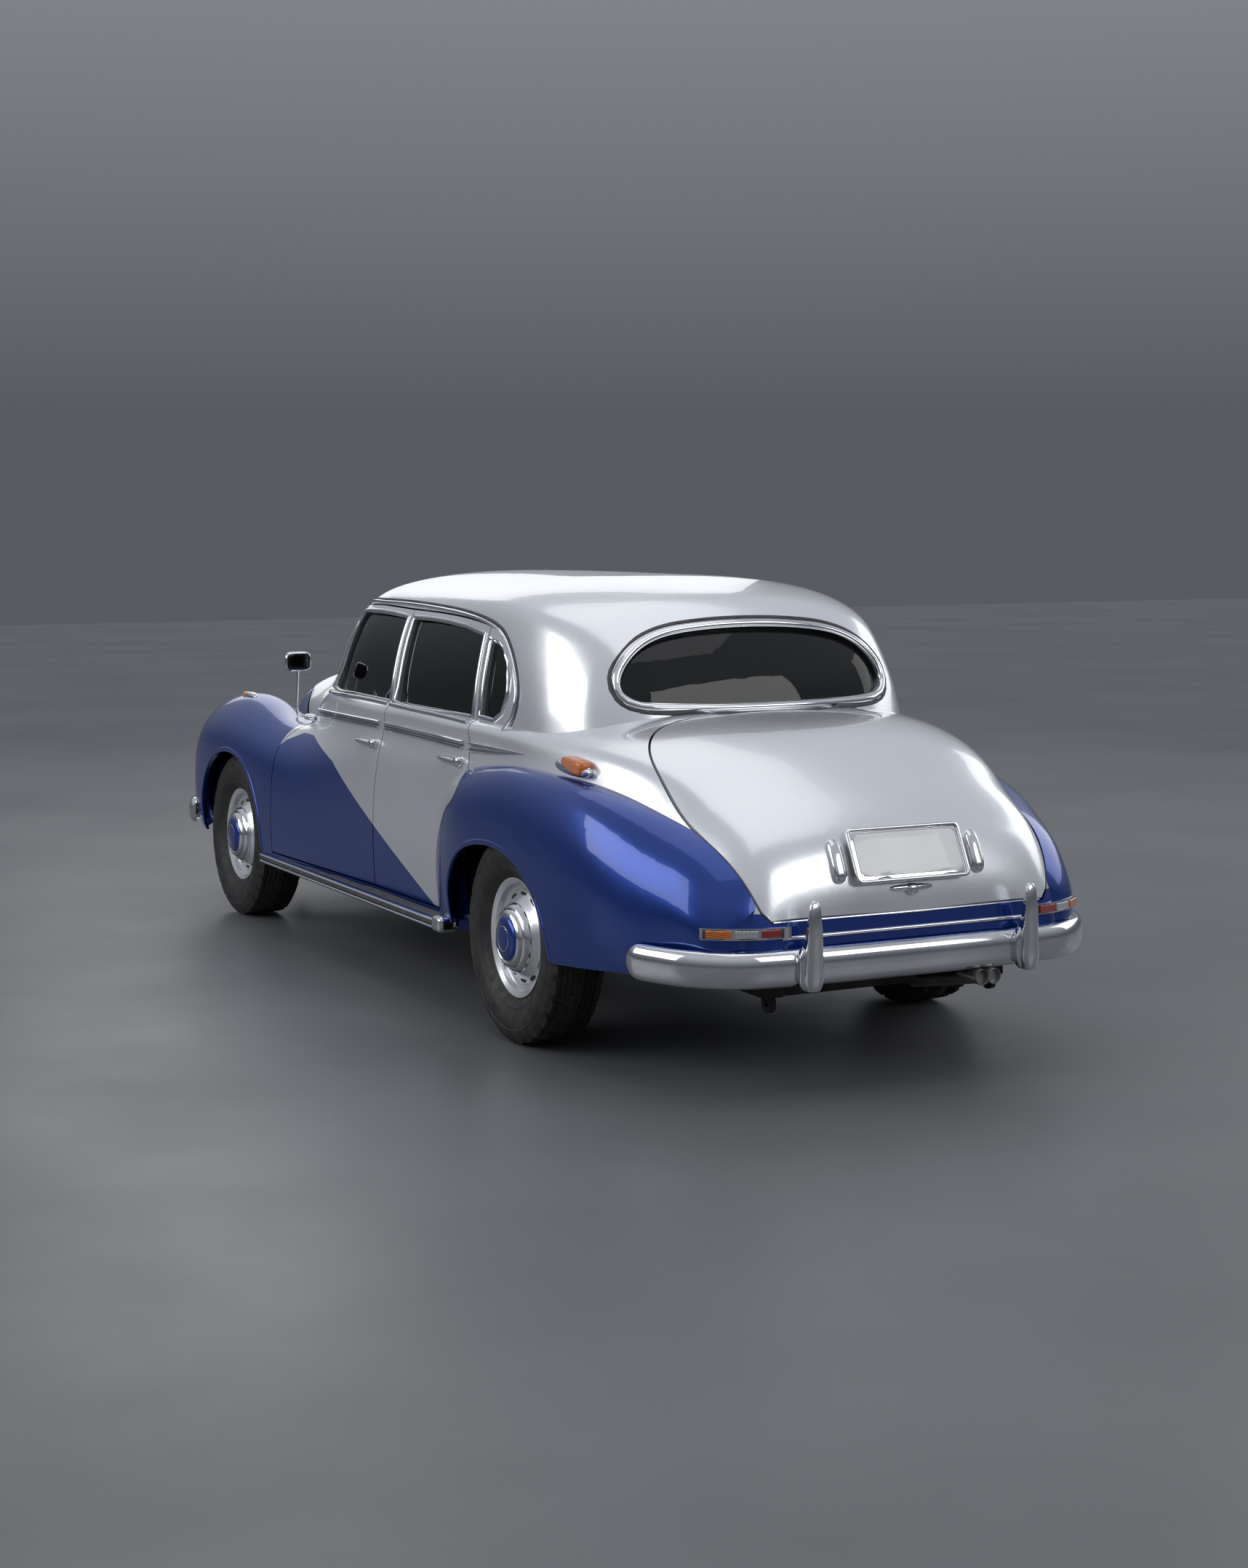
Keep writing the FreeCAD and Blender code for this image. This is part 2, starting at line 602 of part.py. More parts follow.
def outline_face(runs):
    """A face inside runs of points: a run of one point is straight, a longer one is smooth."""
    before = runs[0][0]
    edges = []
    for points in runs[1:]:
        places = [before] + points
        edges.append(smooth_edge(places) if len(points) > 1 else Part.makeLine(*places))
        before = places[-1]
    if not before.isEqual(runs[0][0], seat_clearance):
        edges.append(Part.makeLine(before, runs[0][0]))
    return Part.Face(Part.Wire(edges))


def cutter(runs, spot, run, grown=0.0):
    """A prism over an outline whose spot function lays it in a plane."""
    places = [[spot(share) for share in points] for points in runs]
    if grown:
        places = grown_runs(places, grown)
    return outline_face(places).extrude(run)


def side_spot(share):
    """A point of a side outline, carried along the door's run to the inner plane."""
    y, z, x = share[0] * half_length, share[1] * height, share[2] * half_width
    return Vector(x, y, z) + door_run * (inner_plane - x)


def side_cutter(runs, grown=0.0):
    """A left-hand prism through the side of the car."""
    return cutter(runs, side_spot, door_run * overrun * 2, grown)


def across(runs):
    """The full outline of a piece on the centre plane, from its left half."""
    mirror = []
    ends = [points[-1] for points in runs]
    for index in range(len(runs) - 1, 0, -1):
        points = list(reversed(runs[index][:-1])) + [ends[index - 1]]
        mirror.append([(-share[0],) + tuple(share[1:]) for share in points])
    return runs + mirror


# Master forms of the outside and of the walls' inner faces
body_outer = body_form(0.0)
body_inner = body_form(mm("skin_wall"))
body_doors = body_form(mm("door_wall"))
body_post = body_form(door_depth)
roof_outer = roof_form(0.0)
roof_inner = roof_form(mm("roof_wall"))
roof_post = roof_form(roof_depth)
wing_outer = wing_form(0.0)
wing_inner = wing_form(mm("wing_wall"))
cabin_outer = body_outer.fuse(roof_outer)

# Doors, their openings and their windows
door_prisms = [side_cutter(front_door_shares), side_cutter(rear_door_shares)]
door_openings = [side_cutter(front_door_shares, gap), side_cutter(rear_door_shares, gap)]
window_runs = [front_window_shares, rear_window_shares]
window_prisms = [side_cutter(runs) for runs in window_runs]
pane_prisms = [side_cutter(runs, -seat_clearance) for runs in window_runs]
quarter_prism = side_cutter(quarter_window_shares)
quarter_pane = side_cutter(quarter_window_shares, -seat_clearance)
glass_outer = roof_form(mm("glass_depth"))
glass_inner = roof_form(mm("glass_depth") + mm("glass_thickness"))

door_solid = cabin_outer.fuse(wing_outer).cut(Part.makeCompound([body_doors, roof_inner]))
doors = {}
for end, prism_shape, window, pane in zip(("front", "rear"), door_prisms, window_prisms, pane_prisms):
    panel = door_solid.common(prism_shape).cut(window)
    glass = glass_outer.common(pane).cut(glass_inner)
    doors[end] = (panel, glass)


def wheel_house(axle_y, inner_x, radius):
    """The space that a wheel needs, on the left side."""
    centre = Vector(inner_x, axle_y, wheel_radius)
    drum = Part.makeCylinder(radius, half_width, centre, Vector(1, 0, 0))
    low = Vector(inner_x, axle_y - radius, -wheel_radius)
    return drum.fuse(block(low, Vector(inner_x + half_width, axle_y + radius, wheel_radius)))


rear_house_x = half_width * rear_house_share
rear_house = wheel_house(rear_axle_y, rear_house_x, house_radius)
rear_liner = wheel_house(rear_axle_y, rear_house_x - mm("sheet_wall"), house_radius + mm("sheet_wall"))

# Panels of the nose and the tail
front_shut_y = front_door_shares[0][0][0] * half_length - gap
side_zone = block(Vector(-overrun * 4, front_shut_y, -overrun), Vector(overrun * 4, half_length, height * 2))
nose_zone = block(Vector(-overrun * 4, -half_length * nose_end_share, -overrun),
                  Vector(overrun * 4, front_shut_y, height * 2))


def plan_spot(share):
    return Vector(share[0] * half_width, share[1] * half_length, height * plan_level_share)


def lid_spot(share):
    """A point of the boot lid's outline, in a plane that faces back and up."""
    along = share[1] * half_length * math.sqrt(half)
    return Vector(share[0] * half_width, along, -along) + lid_run * (half_length * half)


def rear_spot(share):
    return Vector(share[0] * half_width, half_length * back_window_share, share[1] * height)


def screen_spot(share):
    return Vector(share[0] * half_width, -half_length * half, share[1] * height)


upward = Vector(0, 0, height)
bonnet_prism = cutter(across(bonnet_shares), plan_spot, upward)
bonnet_opening = cutter(across(bonnet_shares), plan_spot, upward, gap)
lid_prism = cutter(across(boot_lid_shares), lid_spot, lid_run * height)
lid_opening = cutter(across(boot_lid_shares), lid_spot, lid_run * height, gap)
backwards = Vector(0, overrun, 0)
back_window = cutter(across(back_window_shares), rear_spot, backwards)
back_pane = cutter(across(back_window_shares), rear_spot, backwards, -seat_clearance)
screen_window = cutter(across(windscreen_shares), screen_spot, backwards * 2)
screen_pane = cutter(across(windscreen_shares), screen_spot, backwards * 2, -seat_clearance)

lower_skin = body_outer.cut(Part.makeCompound([body_inner, roof_inner]))
bonnet = lower_skin.common(bonnet_prism)
boot_lid = lower_skin.common(lid_prism)

# Body shell: the lower body behind the nose, with the sills and the posts between the doors
all_door_openings = Part.makeCompound(door_openings + [mirrored(shape) for shape in door_openings])
both_houses = Part.makeCompound([rear_house, mirrored(rear_house)])
post_y = front_door_shares[-1][0][0] * half_length + gap / 2
cantrail_z = height * cantrail_share
post_low = Vector(half_width * half, post_y - rail_half, floor_base)
post_high = Vector(half_width, post_y + rail_half, cantrail_z - seat_clearance)
header_high = Vector(half_width, post_high.y, height * head_share)
post_form = body_post.fuse(roof_post)
post_inner = body_form(door_depth + rail_half).fuse(roof_form(roof_depth + rail_half))
post = post_form.cut(post_inner).common(block(post_low, post_high))
header = roof_inner.cut(post_inner).common(block(Vector(post_low.x, post_low.y, cantrail_z), header_high))
sill_low = Vector(half_width * sill_inner_share, front_shut_y, floor_base)
sill_high = Vector(half_width, rear_axle_y - house_radius - gap, sill_low.z + mm("sheet_wall"))
sill_plate = body_outer.common(block(sill_low, sill_high))
sill_wall = body_post.common(block(sill_low, Vector(half_width, sill_high.y, height * sill_top_share)))
sill_wall = sill_wall.cut(body_form(door_depth + mm("sheet_wall")))
side_frame = sill_plate.fuse([sill_wall, post])
tub = lower_skin.common(side_zone).cut(Part.makeCompound([all_door_openings, lid_opening, bonnet_opening]))
tub = tub.fuse([side_frame, mirrored(side_frame)]).cut(both_houses)
liner = rear_liner.cut(rear_house).common(body_inner)
liner = liner.common(block(Vector(0, -half_length, floor_base), Vector(half_width, half_length, height)))
slot_reach = mm("axle_tube_diameter") / 2 + mm("wheel_house_clearance")
axle_slot = block(Vector(-half_width, rear_axle_y - slot_reach, 0),
                  Vector(half_width, rear_axle_y + slot_reach, wheel_radius + slot_reach))
iron_x = rail_plan_shares[-1][0] * half_width
rail_end = rail_plan_shares[-1][1] * half_length
iron_low = Vector(iron_x - rail_half, rail_end, mm("bumper_base") + plate_wall)
iron_high = Vector(iron_x + rail_half, half_length * iron_reach_share, mm("bumper_base") + plate_wall * 4)
iron = block(iron_low, iron_high)
slot_play = Vector(gap, gap, gap)
iron_slot = block(iron_low - slot_play, iron_high + slot_play)
body_shell = tub.fuse([liner, mirrored(liner)])
body_shell = body_shell.cut(Part.makeCompound([axle_slot, iron_slot, mirrored(iron_slot)]))

# Roof with its pillars and the headers over the posts
roof_wall = roof_outer.cut(Part.makeCompound([roof_inner, body_outer]))
quarter_prisms = Part.makeCompound([quarter_prism, mirrored(quarter_prism)])
roof_shell = roof_wall.cut(Part.makeCompound([all_door_openings, quarter_prisms, back_window, screen_window]))
roof_shell = roof_shell.fuse([header, mirrored(header)])
panes = [glass_outer.common(quarter_pane).cut(glass_inner)]
panes.append(mirrored(panes[0]))
panes.append(glass_outer.common(back_pane).cut(glass_inner))
panes.append(glass_outer.common(screen_pane).cut(glass_inner).cut(body_outer))

# Wings
arch_run = Vector(half_width, 0, 0)


def arch_spot(share):
    return Vector(half_width * arch_inner_share, share[0] * half_length, share[1] * height)


front_arch = cutter(front_arch_shares, arch_spot, arch_run)
rear_arch = cutter(rear_arch_shares, arch_spot, arch_run)
lid_pivot = Vector(0, half_length * lid_pivot_share[0], height * lid_pivot_share[1])
lid_rising = lid_opening.copy()
lid_rising.rotate(lid_pivot, Vector(1, 0, 0), lid_play_angle)
rear_wing = wing_outer.cut(wing_inner).cut(Part.makeCompound([body_outer, rear_arch, door_openings[1]]))
rear_wing = rear_wing.cut(lid_opening).cut(lid_rising)
grille_low = Vector(-mm("grille_width") * half - seat_clearance, -half_length, height * grille_base_share)
grille_back = bonnet_shares[0][0][1] * half_length
grille_zone = block(grille_low, Vector(-grille_low.x, grille_back, height))
nose = lower_skin.common(nose_zone).cut(Part.makeCompound([bonnet_opening, front_arch, mirrored(front_arch),
                                                          grille_zone]))


# Wheels and tyres
def wheel_spot(share):
    return Vector(share[0] * wheel_radius, 0, share[1] * wheel_radius)


def turned(runs, spot):
    """A solid of revolution about the car's cross axis."""
    return outline_face([[spot(share) for share in points] for points in runs]).revolve(
        Vector(0, 0, 0), Vector(1, 0, 0), full_turn)


def faceted_ring(profile, sides):
    """A ring of flat faces about the car's cross axis, with a corner at its lowest point."""
    rings = []
    for step in range(sides):
        angle = 2 * math.pi * step / sides
        out = Vector(0, math.sin(angle), -math.cos(angle))
        rings.append([wheel_spot((share[0], 0)) + out * (share[1] * wheel_radius) for share in profile])
    faces = []
    for ring, after in zip(rings, rings[1:] + rings[:1]):
        for index in range(len(ring)):
            corners = [ring[index - 1], ring[index], after[index], after[index - 1]]
            faces.append(Part.Face(Part.makePolygon(corners + corners[:1])))
    return Part.makeSolid(Part.makeShell(faces))


tyre_sides = 48
tyre_half = [share for points in tyre_shares for share in points]
tyre = faceted_ring(tyre_half + [(-share[0], share[1]) for share in reversed(tyre_half[:-1])], tyre_sides)
wheel = turned(wheel_outer_shares + wheel_inner_shares, wheel_spot)



# Chassis: two rails in plan, cut to their line from the side
def banded(points, width, flat):
    """A closed outline of two lines, width apart, along a row of points."""
    sides = []
    for sign in (1, -1):
        line = []
        for index, point in enumerate(points):
            run = points[min(index + 1, len(points) - 1)] - points[max(index - 1, 0)]
            line.append(point + run.cross(flat).normalize() * (sign * width / 2))
        sides.append(line)
    return sides[0] + list(reversed(sides[1]))


rail_plan = [Vector(x * half_width, y * half_length, 0) for x, y in rail_plan_shares]
rail_middle = mm("rail_base") + mm("rail_height") / 2
rail_side = [Vector(0, y * half_length, rail_middle + rise * height) for y, rise in rail_rise_shares]
rail_plan_prism = prism(banded(rail_plan, mm("rail_width"), Vector(0, 0, 1)), Vector(0, 0, height))
rail_side_prism = prism(banded(rail_side, mm("rail_height"), Vector(1, 0, 0)), Vector(half_width, 0, 0))
rail = rail_plan_prism.common(rail_side_prism)
crosses = []
for y_share, x_share, rise in cross_member_shares:
    low = Vector(-x_share * half_width, y_share * half_length, mm("rail_base") + rise * height)
    crosses.append(block(low, Vector(-low.x, low.y + mm("cross_member"), low.z + mm("cross_member"))))
mount_cross = crosses[1].BoundBox
mount_high = Vector(mm("engine_width") / 2, mount_cross.YMax, mm("engine_base") - seat_clearance)
mount = block(Vector(mount_high.x - mm("rail_width"), mount_cross.YMin, mount_cross.ZMin), mount_high)
chassis = rail.fuse([mirrored(rail), mount, mirrored(mount)] + crosses)


def tow_eye(x, y, base):
    """A towing eye under the end of a rail, and its bore."""
    start = Vector(x - mm("tow_eye_thickness") / 2, y, base - mm("tow_eye_drop"))
    eye = Part.makeCylinder(mm("tow_eye_width") / 2, mm("tow_eye_thickness"), start, Vector(1, 0, 0))
    bore = Part.makeCylinder(mm("tow_eye_bore") / 2, half_width, start - Vector(half_width * half, 0, 0),
                             Vector(1, 0, 0))
    return eye, bore


eye_inset = mm("tow_eye_width") / 2
for plan_share, rise_share, way in ((rail_plan_shares[0], rail_rise_shares[0], 1),
                                    (rail_plan_shares[-1], rail_rise_shares[-1], -1)):
    eye, bore = tow_eye(plan_share[0] * half_width, plan_share[1] * half_length + way * eye_inset,
                        mm("rail_base") + rise_share[1] * height)
    chassis = chassis.fuse([eye, mirrored(eye)]).cut(Part.makeCompound([bore, mirrored(bore)]))

# Floor, bulkheads and inner wings
floor_line = [Vector(0, y * half_length, floor_base + plate_wall / 2 + rise * height)
              for y, rise in floor_rise_shares]
floor_sheet = prism(banded(floor_line, mm("sheet_wall"), Vector(1, 0, 0)), Vector(overrun * 5, 0, 0))
floor_sheet.translate(Vector(-overrun * 2.5, 0, 0))
floor_front = floor_sheet.common(body_form(door_depth + mm("sheet_wall") * 2))
floor_edge = sill_low.x - seat_clearance
floor_front = floor_front.common(block(Vector(-floor_edge, -half_length, 0),
                                       Vector(floor_edge, rear_axle_y - house_radius - gap * 3, height)))
floor_half = rear_house_x - mm("sheet_wall") - seat_clearance
floor_middle = block(Vector(-floor_half, -half_length, 0), Vector(floor_half, half_length, height))
floor_rear = floor_sheet.common(floor_middle)
firewall_y = front_shut_y + gap
firewall_back = firewall_y + plate_wall
sill_top = height * sill_top_share + seat_clearance
firewall_low = block(Vector(-floor_edge, firewall_y, floor_line[0].z),
                     Vector(floor_edge, firewall_back, height))
firewall_high = block(Vector(-half_width, firewall_y, sill_top), Vector(half_width, firewall_back, height))
firewall = body_post.common(firewall_low.fuse(firewall_high))
floor = floor_front.fuse([floor_rear, firewall])
apron_x = half_width * apron_share
apron = block(Vector(apron_x - mm("sheet_wall"), grille_back, rail_top),
              Vector(apron_x, front_shut_y - seat_clearance, height * apron_top_share))
inner_wing = apron.common(body_form(mm("skin_wall") + seat_clearance))

# Front suspension with its king pins
kingpin_x = mm("track_front") / 2 - mm("kingpin_offset")
kingpin_radius = mm("kingpin_diameter") / 2
pin_base = wheel_radius - mm("kingpin_length") / 2
pin_top = wheel_radius + mm("kingpin_length") / 2
arm = mm("arm_thickness")
running = mm("axle_clearance")
rail_outer = rail_plan_shares[0][0] * half_width + rail_half
tower_x = half_width * tower_share


def suspension_arm(low_x, low_z):
    beam = block(Vector(low_x, front_axle_y - mm("arm_width") / 2, low_z),
                 Vector(kingpin_x, front_axle_y + mm("arm_width") / 2, low_z + arm))
    return beam.fuse(Part.makeCylinder(kingpin_radius, arm, Vector(kingpin_x, front_axle_y, low_z)))


lower_arm = suspension_arm(rail_outer, pin_base - running - arm)
upper_arm = suspension_arm(tower_x, pin_top + running)
tower = block(Vector(rail_outer - rail_half, front_axle_y - mm("arm_width"), rail_top),
              Vector(tower_x, front_axle_y + mm("arm_width"), pin_top + running + arm))
front_suspension = both(upper_arm.fuse(tower))
arm_play = Vector(gap, gap, gap)
arm_window = block(Vector(rail_outer - rail_half, front_axle_y - mm("arm_width"), rail_top) - arm_play,
                   Vector(kingpin_x, front_axle_y + mm("arm_width"), pin_top + running + arm) + arm_play)
inner_wing = inner_wing.cut(arm_window)
lower_arms = both(lower_arm)

# Knuckle on its king pin, with the stub axle and the backing plate
across_axis = Vector(1, 0, 0)
wheel_x = mm("track_front") / 2
spindle_end = wheel_radius * wheel_inner_shares[0][0][0] - gap
spindle_radius = mm("hub_bore") / 2 - running
plate_face = wheel_radius * wheel_inner_shares[6][0][0] - gap
pin = Part.makeCylinder(kingpin_radius, mm("kingpin_length"), Vector(kingpin_x, front_axle_y, pin_base))
stub = Part.makeCylinder(spindle_radius, wheel_x + spindle_end - kingpin_x,
                         Vector(kingpin_x, front_axle_y, wheel_radius), across_axis)
backing = Part.makeCylinder(mm("drum_diameter") / 2, plate_wall,
                            Vector(wheel_x + plate_face - plate_wall, front_axle_y, wheel_radius), across_axis)
boss_length = wheel_x + plate_face - kingpin_x
boss = Part.makeCylinder(mm("axle_tube_diameter") / 2, boss_length,
                         Vector(kingpin_x, front_axle_y, wheel_radius), across_axis)
knuckle = pin.fuse([stub, backing, boss])

# Rear axle across the car: one turned piece from spindle to spindle
tube_end = mm("track_rear") / 2 + plate_face
tube_radius = mm("axle_tube_diameter") / 2
housing_radius = mm("differential_diameter") / 2
housing_end = math.sqrt(housing_radius ** 2 - tube_radius ** 2)
spindle_reach = mm("track_rear") / 2 + spindle_end


def axle_point(along, out):
    return Vector(along, rear_axle_y, wheel_radius + out)


axle_side = [axle_point(housing_end, tube_radius), axle_point(tube_end - plate_wall, tube_radius),
             axle_point(tube_end - plate_wall, mm("drum_diameter") / 2),
             axle_point(tube_end, mm("drum_diameter") / 2), axle_point(tube_end, spindle_radius),
             axle_point(spindle_reach, spindle_radius), axle_point(spindle_reach, 0)]
axle_line = axle_side + [Vector(-point.x, point.y, point.z) for point in reversed(axle_side)]
axle_edges = [Part.makeLine(start, end) for start, end in zip(axle_line, axle_line[1:])]
axle_edges.append(Part.Arc(axle_line[-1], axle_point(0, housing_radius), axle_line[0]).toShape())
axle_turned = Part.Face(Part.Wire(axle_edges)).revolve(axle_point(0, 0), across_axis, full_turn)
rail_over_axle = mm("rail_base") + rail_rise_shares[3][1] * height
spring = Part.makeCylinder(rail_half, rail_over_axle - wheel_radius,
                           Vector(rail_plan_shares[-1][0] * half_width, rear_axle_y, wheel_radius))
rear_axle = axle_turned.fuse([spring, mirrored(spring)])


# Bumpers, running boards and lamps
def plan_point(share):
    return Vector(share[0] * half_width, share[1] * half_length, mm("bumper_base"))


bumper_sections = 15


def bumper_bar(shares):
    """The left half of a bumper's bar, swept round the corner of the car with a bowed section."""
    path = smooth_edge([plan_point(share) for run in shares for share in run])
    sections = []
    for index in range(bumper_sections):
        place = path.getParameterByLength(path.Length * index / (bumper_sections - 1))
        run = path.tangentAt(place) if index else Vector(1, 0, 0)
        outwards = Vector(0, 0, 1).cross(run).normalize()
        middle = path.valueAt(place) - outwards * mm("bumper_depth") + Vector(0, 0, mm("bumper_height") / 2)
        size = bumper_end_share if index == bumper_sections - 1 else 1
        bow = [middle + outwards * (out * mm("bumper_depth")) + Vector(0, 0, up * size * mm("bumper_height"))
               for out, up in bumper_section_shares]
        sections.append(Part.Wire([smooth_edge(bow), Part.makeLine(bow[-1], bow[0])]))
    return Part.makeLoft(sections, True)


def overrider_spot(share):
    inner_x = (mm("overrider_spacing") - mm("overrider_width")) / 2
    return Vector(inner_x, share[0] * half_length, share[1] * height)


overrider = cutter(overrider_shares, overrider_spot, Vector(mm("overrider_width"), 0, 0))
half_bumper = bumper_bar(bumper_shares).fuse([overrider, iron])
rear_bumper = half_bumper.fuse(mirrored(half_bumper))
front_iron_x = rail_plan_shares[0][0] * half_width
front_rail_end = rail_plan_shares[0][1] * half_length
front_iron = block(Vector(front_iron_x - rail_half, -half_length * iron_reach_share, mm("bumper_base")),
                   Vector(front_iron_x + rail_half, front_rail_end + mm("rail_width"),
                          mm("bumper_base") + plate_wall))
front_iron = front_iron.fuse(block(Vector(front_iron_x - rail_half, front_rail_end, rail_top),
                                   Vector(front_iron_x + rail_half, front_rail_end + mm("rail_width"),
                                          mm("bumper_base") + plate_wall)))
turned_bar = bumper_bar(front_bumper_shares).fuse(overrider).mirror(Vector(0, 0, 0), Vector(0, 1, 0))
half_front_bumper = turned_bar.fuse(front_iron)
front_bumper = half_front_bumper.fuse(mirrored(half_front_bumper))
board_top = floor_base - seat_clearance
board_base = board_top - mm("board_thickness")
board_front = front_axle_y + half_length * board_front_share
board_rear = rear_axle_y - half_length * board_rear_share
board = block(Vector(half_width * board_inner_share, board_front, board_base),
              Vector(half_width * board_outer_share, board_rear, board_top))


def egg(centre, size_x, size_y, size_z, tilt=0.0):
    """An ellipsoid for a lamp, a mirror or a handle."""
    ball = Part.makeSphere(half)
    matrix = FreeCAD.Matrix()
    matrix.scale(size_x, size_y, size_z)
    shape = ball.transformGeometry(matrix)
    shape.rotate(Vector(0, 0, 0), Vector(1, 0, 0), tilt)
    shape.translate(centre)
    return shape


def at_share(share):
    return Vector(share[0] * half_width, share[1] * half_length, share[2] * height)


lamp_centre = at_share(head_lamp_share)
lamp_radius = mm("head_lamp_diameter") / 2
lamp_depth = half_length * lamp_depth_share
lamp_body = Part.makeCylinder(lamp_radius, lamp_depth, lamp_centre, Vector(0, 1, 0))
lamp_lens = egg(lamp_centre, 2 * lamp_radius, lamp_depth, 2 * lamp_radius)
head_lamp = lamp_body.fuse(lamp_lens)
lamp_seat = Part.makeCylinder(lamp_radius + seat_clearance, lamp_depth * 4,
                              lamp_centre - Vector(0, lamp_depth * 2, 0), Vector(0, 1, 0))
wing_pod = egg(at_share(wing_pod_share), *[s * half_width for s in wing_pod_size_share]).cut(body_outer)
front_lamps = Part.makeCompound([head_lamp, mirrored(head_lamp), wing_pod, mirrored(wing_pod)])
tail_base = height * tail_lamp_base_share
tail_points = [Vector(x * half_width, y * half_length, tail_base) for x, y in tail_lamp_shares]
tail_rise = Vector(0, 0, height * tail_lamp_top_share - tail_base)
tail_lamp = prism(tail_points, tail_rise).cut(body_outer.fuse(wing_outer))
indicator = egg(at_share(indicator_share), *[s * half_width for s in indicator_size_share]).cut(body_outer)
rear_lamps = Part.makeCompound([tail_lamp, mirrored(tail_lamp), indicator, mirrored(indicator)])
front_iron_slot = block(Vector(front_iron_x - rail_half, -half_length, mm("bumper_base")) - slot_play,
                        Vector(front_iron_x + rail_half, front_rail_end, iron_low.z) + slot_play)
nose_cuts = [lamp_seat, mirrored(lamp_seat), front_iron_slot, mirrored(front_iron_slot)]
nose = nose.cut(Part.makeCompound(nose_cuts))

# Door handles
for end, share in door_handle_shares.items():
    handle = egg(at_share(share), *[s * half_width for s in handle_size_share]).cut(body_outer)
    panel, glass = doors[end]
    doors[end] = (panel.fuse(handle), glass)

# Plate, its lamps and the handle on the boot lid
plate_centre = at_share(plate_share)
plate = Part.makeBox(mm("plate_width"), mm("plate_thickness"), mm("plate_height"),
                     Vector(-mm("plate_width") / 2, 0, -mm("plate_height") / 2))
pad = Part.makeBox(mm("plate_width") * half, mm("plate_height"), mm("plate_height") * half,
                   Vector(-mm("plate_width") / 4, -mm("plate_height"), -mm("plate_height") / 4))
for piece in (plate, pad):
    piece.rotate(Vector(0, 0, 0), Vector(1, 0, 0), plate_tilt)
    piece.translate(plate_centre)
carrier = plate.fuse(pad).cut(body_outer)
pod_sizes = [s * half_width for s in plate_pod_size_share]
plate_pod = egg(at_share(plate_pod_share), *pod_sizes, plate_tilt).cut(body_outer)
handle_sizes = [s * half_width for s in lid_handle_size_share]
lid_handle = egg(at_share(lid_handle_share), *handle_sizes).cut(body_outer)
boot_fittings = Part.makeCompound([carrier, plate_pod, mirrored(plate_pod), lid_handle])

# Mirrors on their stalks
mirror_foot = at_share(mirror_foot_share)
mirror_head = at_share(mirror_head_share)
stalk_way = mirror_head - mirror_foot
stalk = Part.makeCylinder(mm("steering_rim_diameter") / 4, stalk_way.Length, mirror_foot, stalk_way)
head = egg(mirror_head, *[s * half_width for s in mirror_size_share])
foot = egg(mirror_foot, *[s * half_width for s in mirror_foot_size_share])
mirror = stalk.fuse([head, foot]).cut(body_outer)

# Grille in its frame
grille_top = grille_low.z + seat_clearance + mm("grille_height")
grille_rear = grille_back - gap * 2
grille_front = grille_rear - mm("grille_depth")
outer_frame = block(Vector(-mm("grille_width") / 2, grille_front, grille_low.z + seat_clearance),
                    Vector(mm("grille_width") / 2, grille_rear, grille_top))
inner_frame = block(Vector(mm("grille_frame") - mm("grille_width") / 2, grille_front - gap,
                           grille_low.z + seat_clearance + mm("grille_frame")),
                    Vector(mm("grille_width") / 2 - mm("grille_frame"), grille_back,
                           grille_top - mm("grille_frame")))
bars = []
bar_x = mm("grille_frame") - mm("grille_width") / 2 + mm("grille_pitch")
bar_half = mm("grille_bar") / 2
while bar_x < mm("grille_width") / 2 - mm("grille_frame"):
    bar_low = Vector(bar_x - bar_half, grille_front + mm("grille_bar"), grille_low.z + seat_clearance)
    bar_high = Vector(bar_x + bar_half, grille_rear - mm("grille_bar"), grille_top)
    bars.append(block(bar_low, bar_high))
    bar_x += mm("grille_pitch")
grille = outer_frame.cut(inner_frame).fuse(bars)

# Cabin fittings
dash_low = at_share(dash_low_share)
dash_high = at_share(dash_high_share)
dash = body_post.fuse(roof_post).common(block(dash_low, dash_high))
dash_arm = block(Vector(-rail_half, firewall_back, dash_low.z),
                 Vector(rail_half, dash_low.y, dash_high.z - mm("rail_width")))
wheel_hub = at_share(steering_hub_share)
column_way = Vector(0, -math.cos(math.radians(column_tilt)), -math.sin(math.radians(column_tilt)))
column_length = (wheel_hub.y - firewall_y - plate_wall * 2) / math.cos(math.radians(column_tilt))
column_radius = mm("steering_rim_diameter") * column_share
column = Part.makeCylinder(column_radius, column_length, wheel_hub, column_way)
rim = Part.makeTorus(mm("steering_wheel_diameter") / 2, mm("steering_rim_diameter") / 2,
                     wheel_hub, column_way)
spokes = []
for spoke_way in (across_axis, column_way.cross(across_axis)):
    spoke_start = wheel_hub - spoke_way * (mm("steering_wheel_diameter") / 2)
    spokes.append(Part.makeCylinder(mm("steering_rim_diameter") / 3, mm("steering_wheel_diameter"),
                                    spoke_start, spoke_way))
steering_wheel = rim.fuse([column] + spokes)
jacket_at = wheel_hub + column_way * (column_length * half)
jacket_radius = mm("steering_rim_diameter") * jacket_share
jacket = Part.makeCylinder(jacket_radius, mm("rail_width"), jacket_at, column_way)
jacket_arm = block(Vector(wheel_hub.x - rail_half / 2, dash_low.y, jacket_at.z),
                   Vector(wheel_hub.x + rail_half / 2, dash_high.y, dash_low.z))
jacket_bore = Part.makeCylinder(column_radius + running, column_length * 2, wheel_hub, column_way)
dashboard = dash.fuse([dash_arm, jacket, jacket_arm]).cut(jacket_bore)

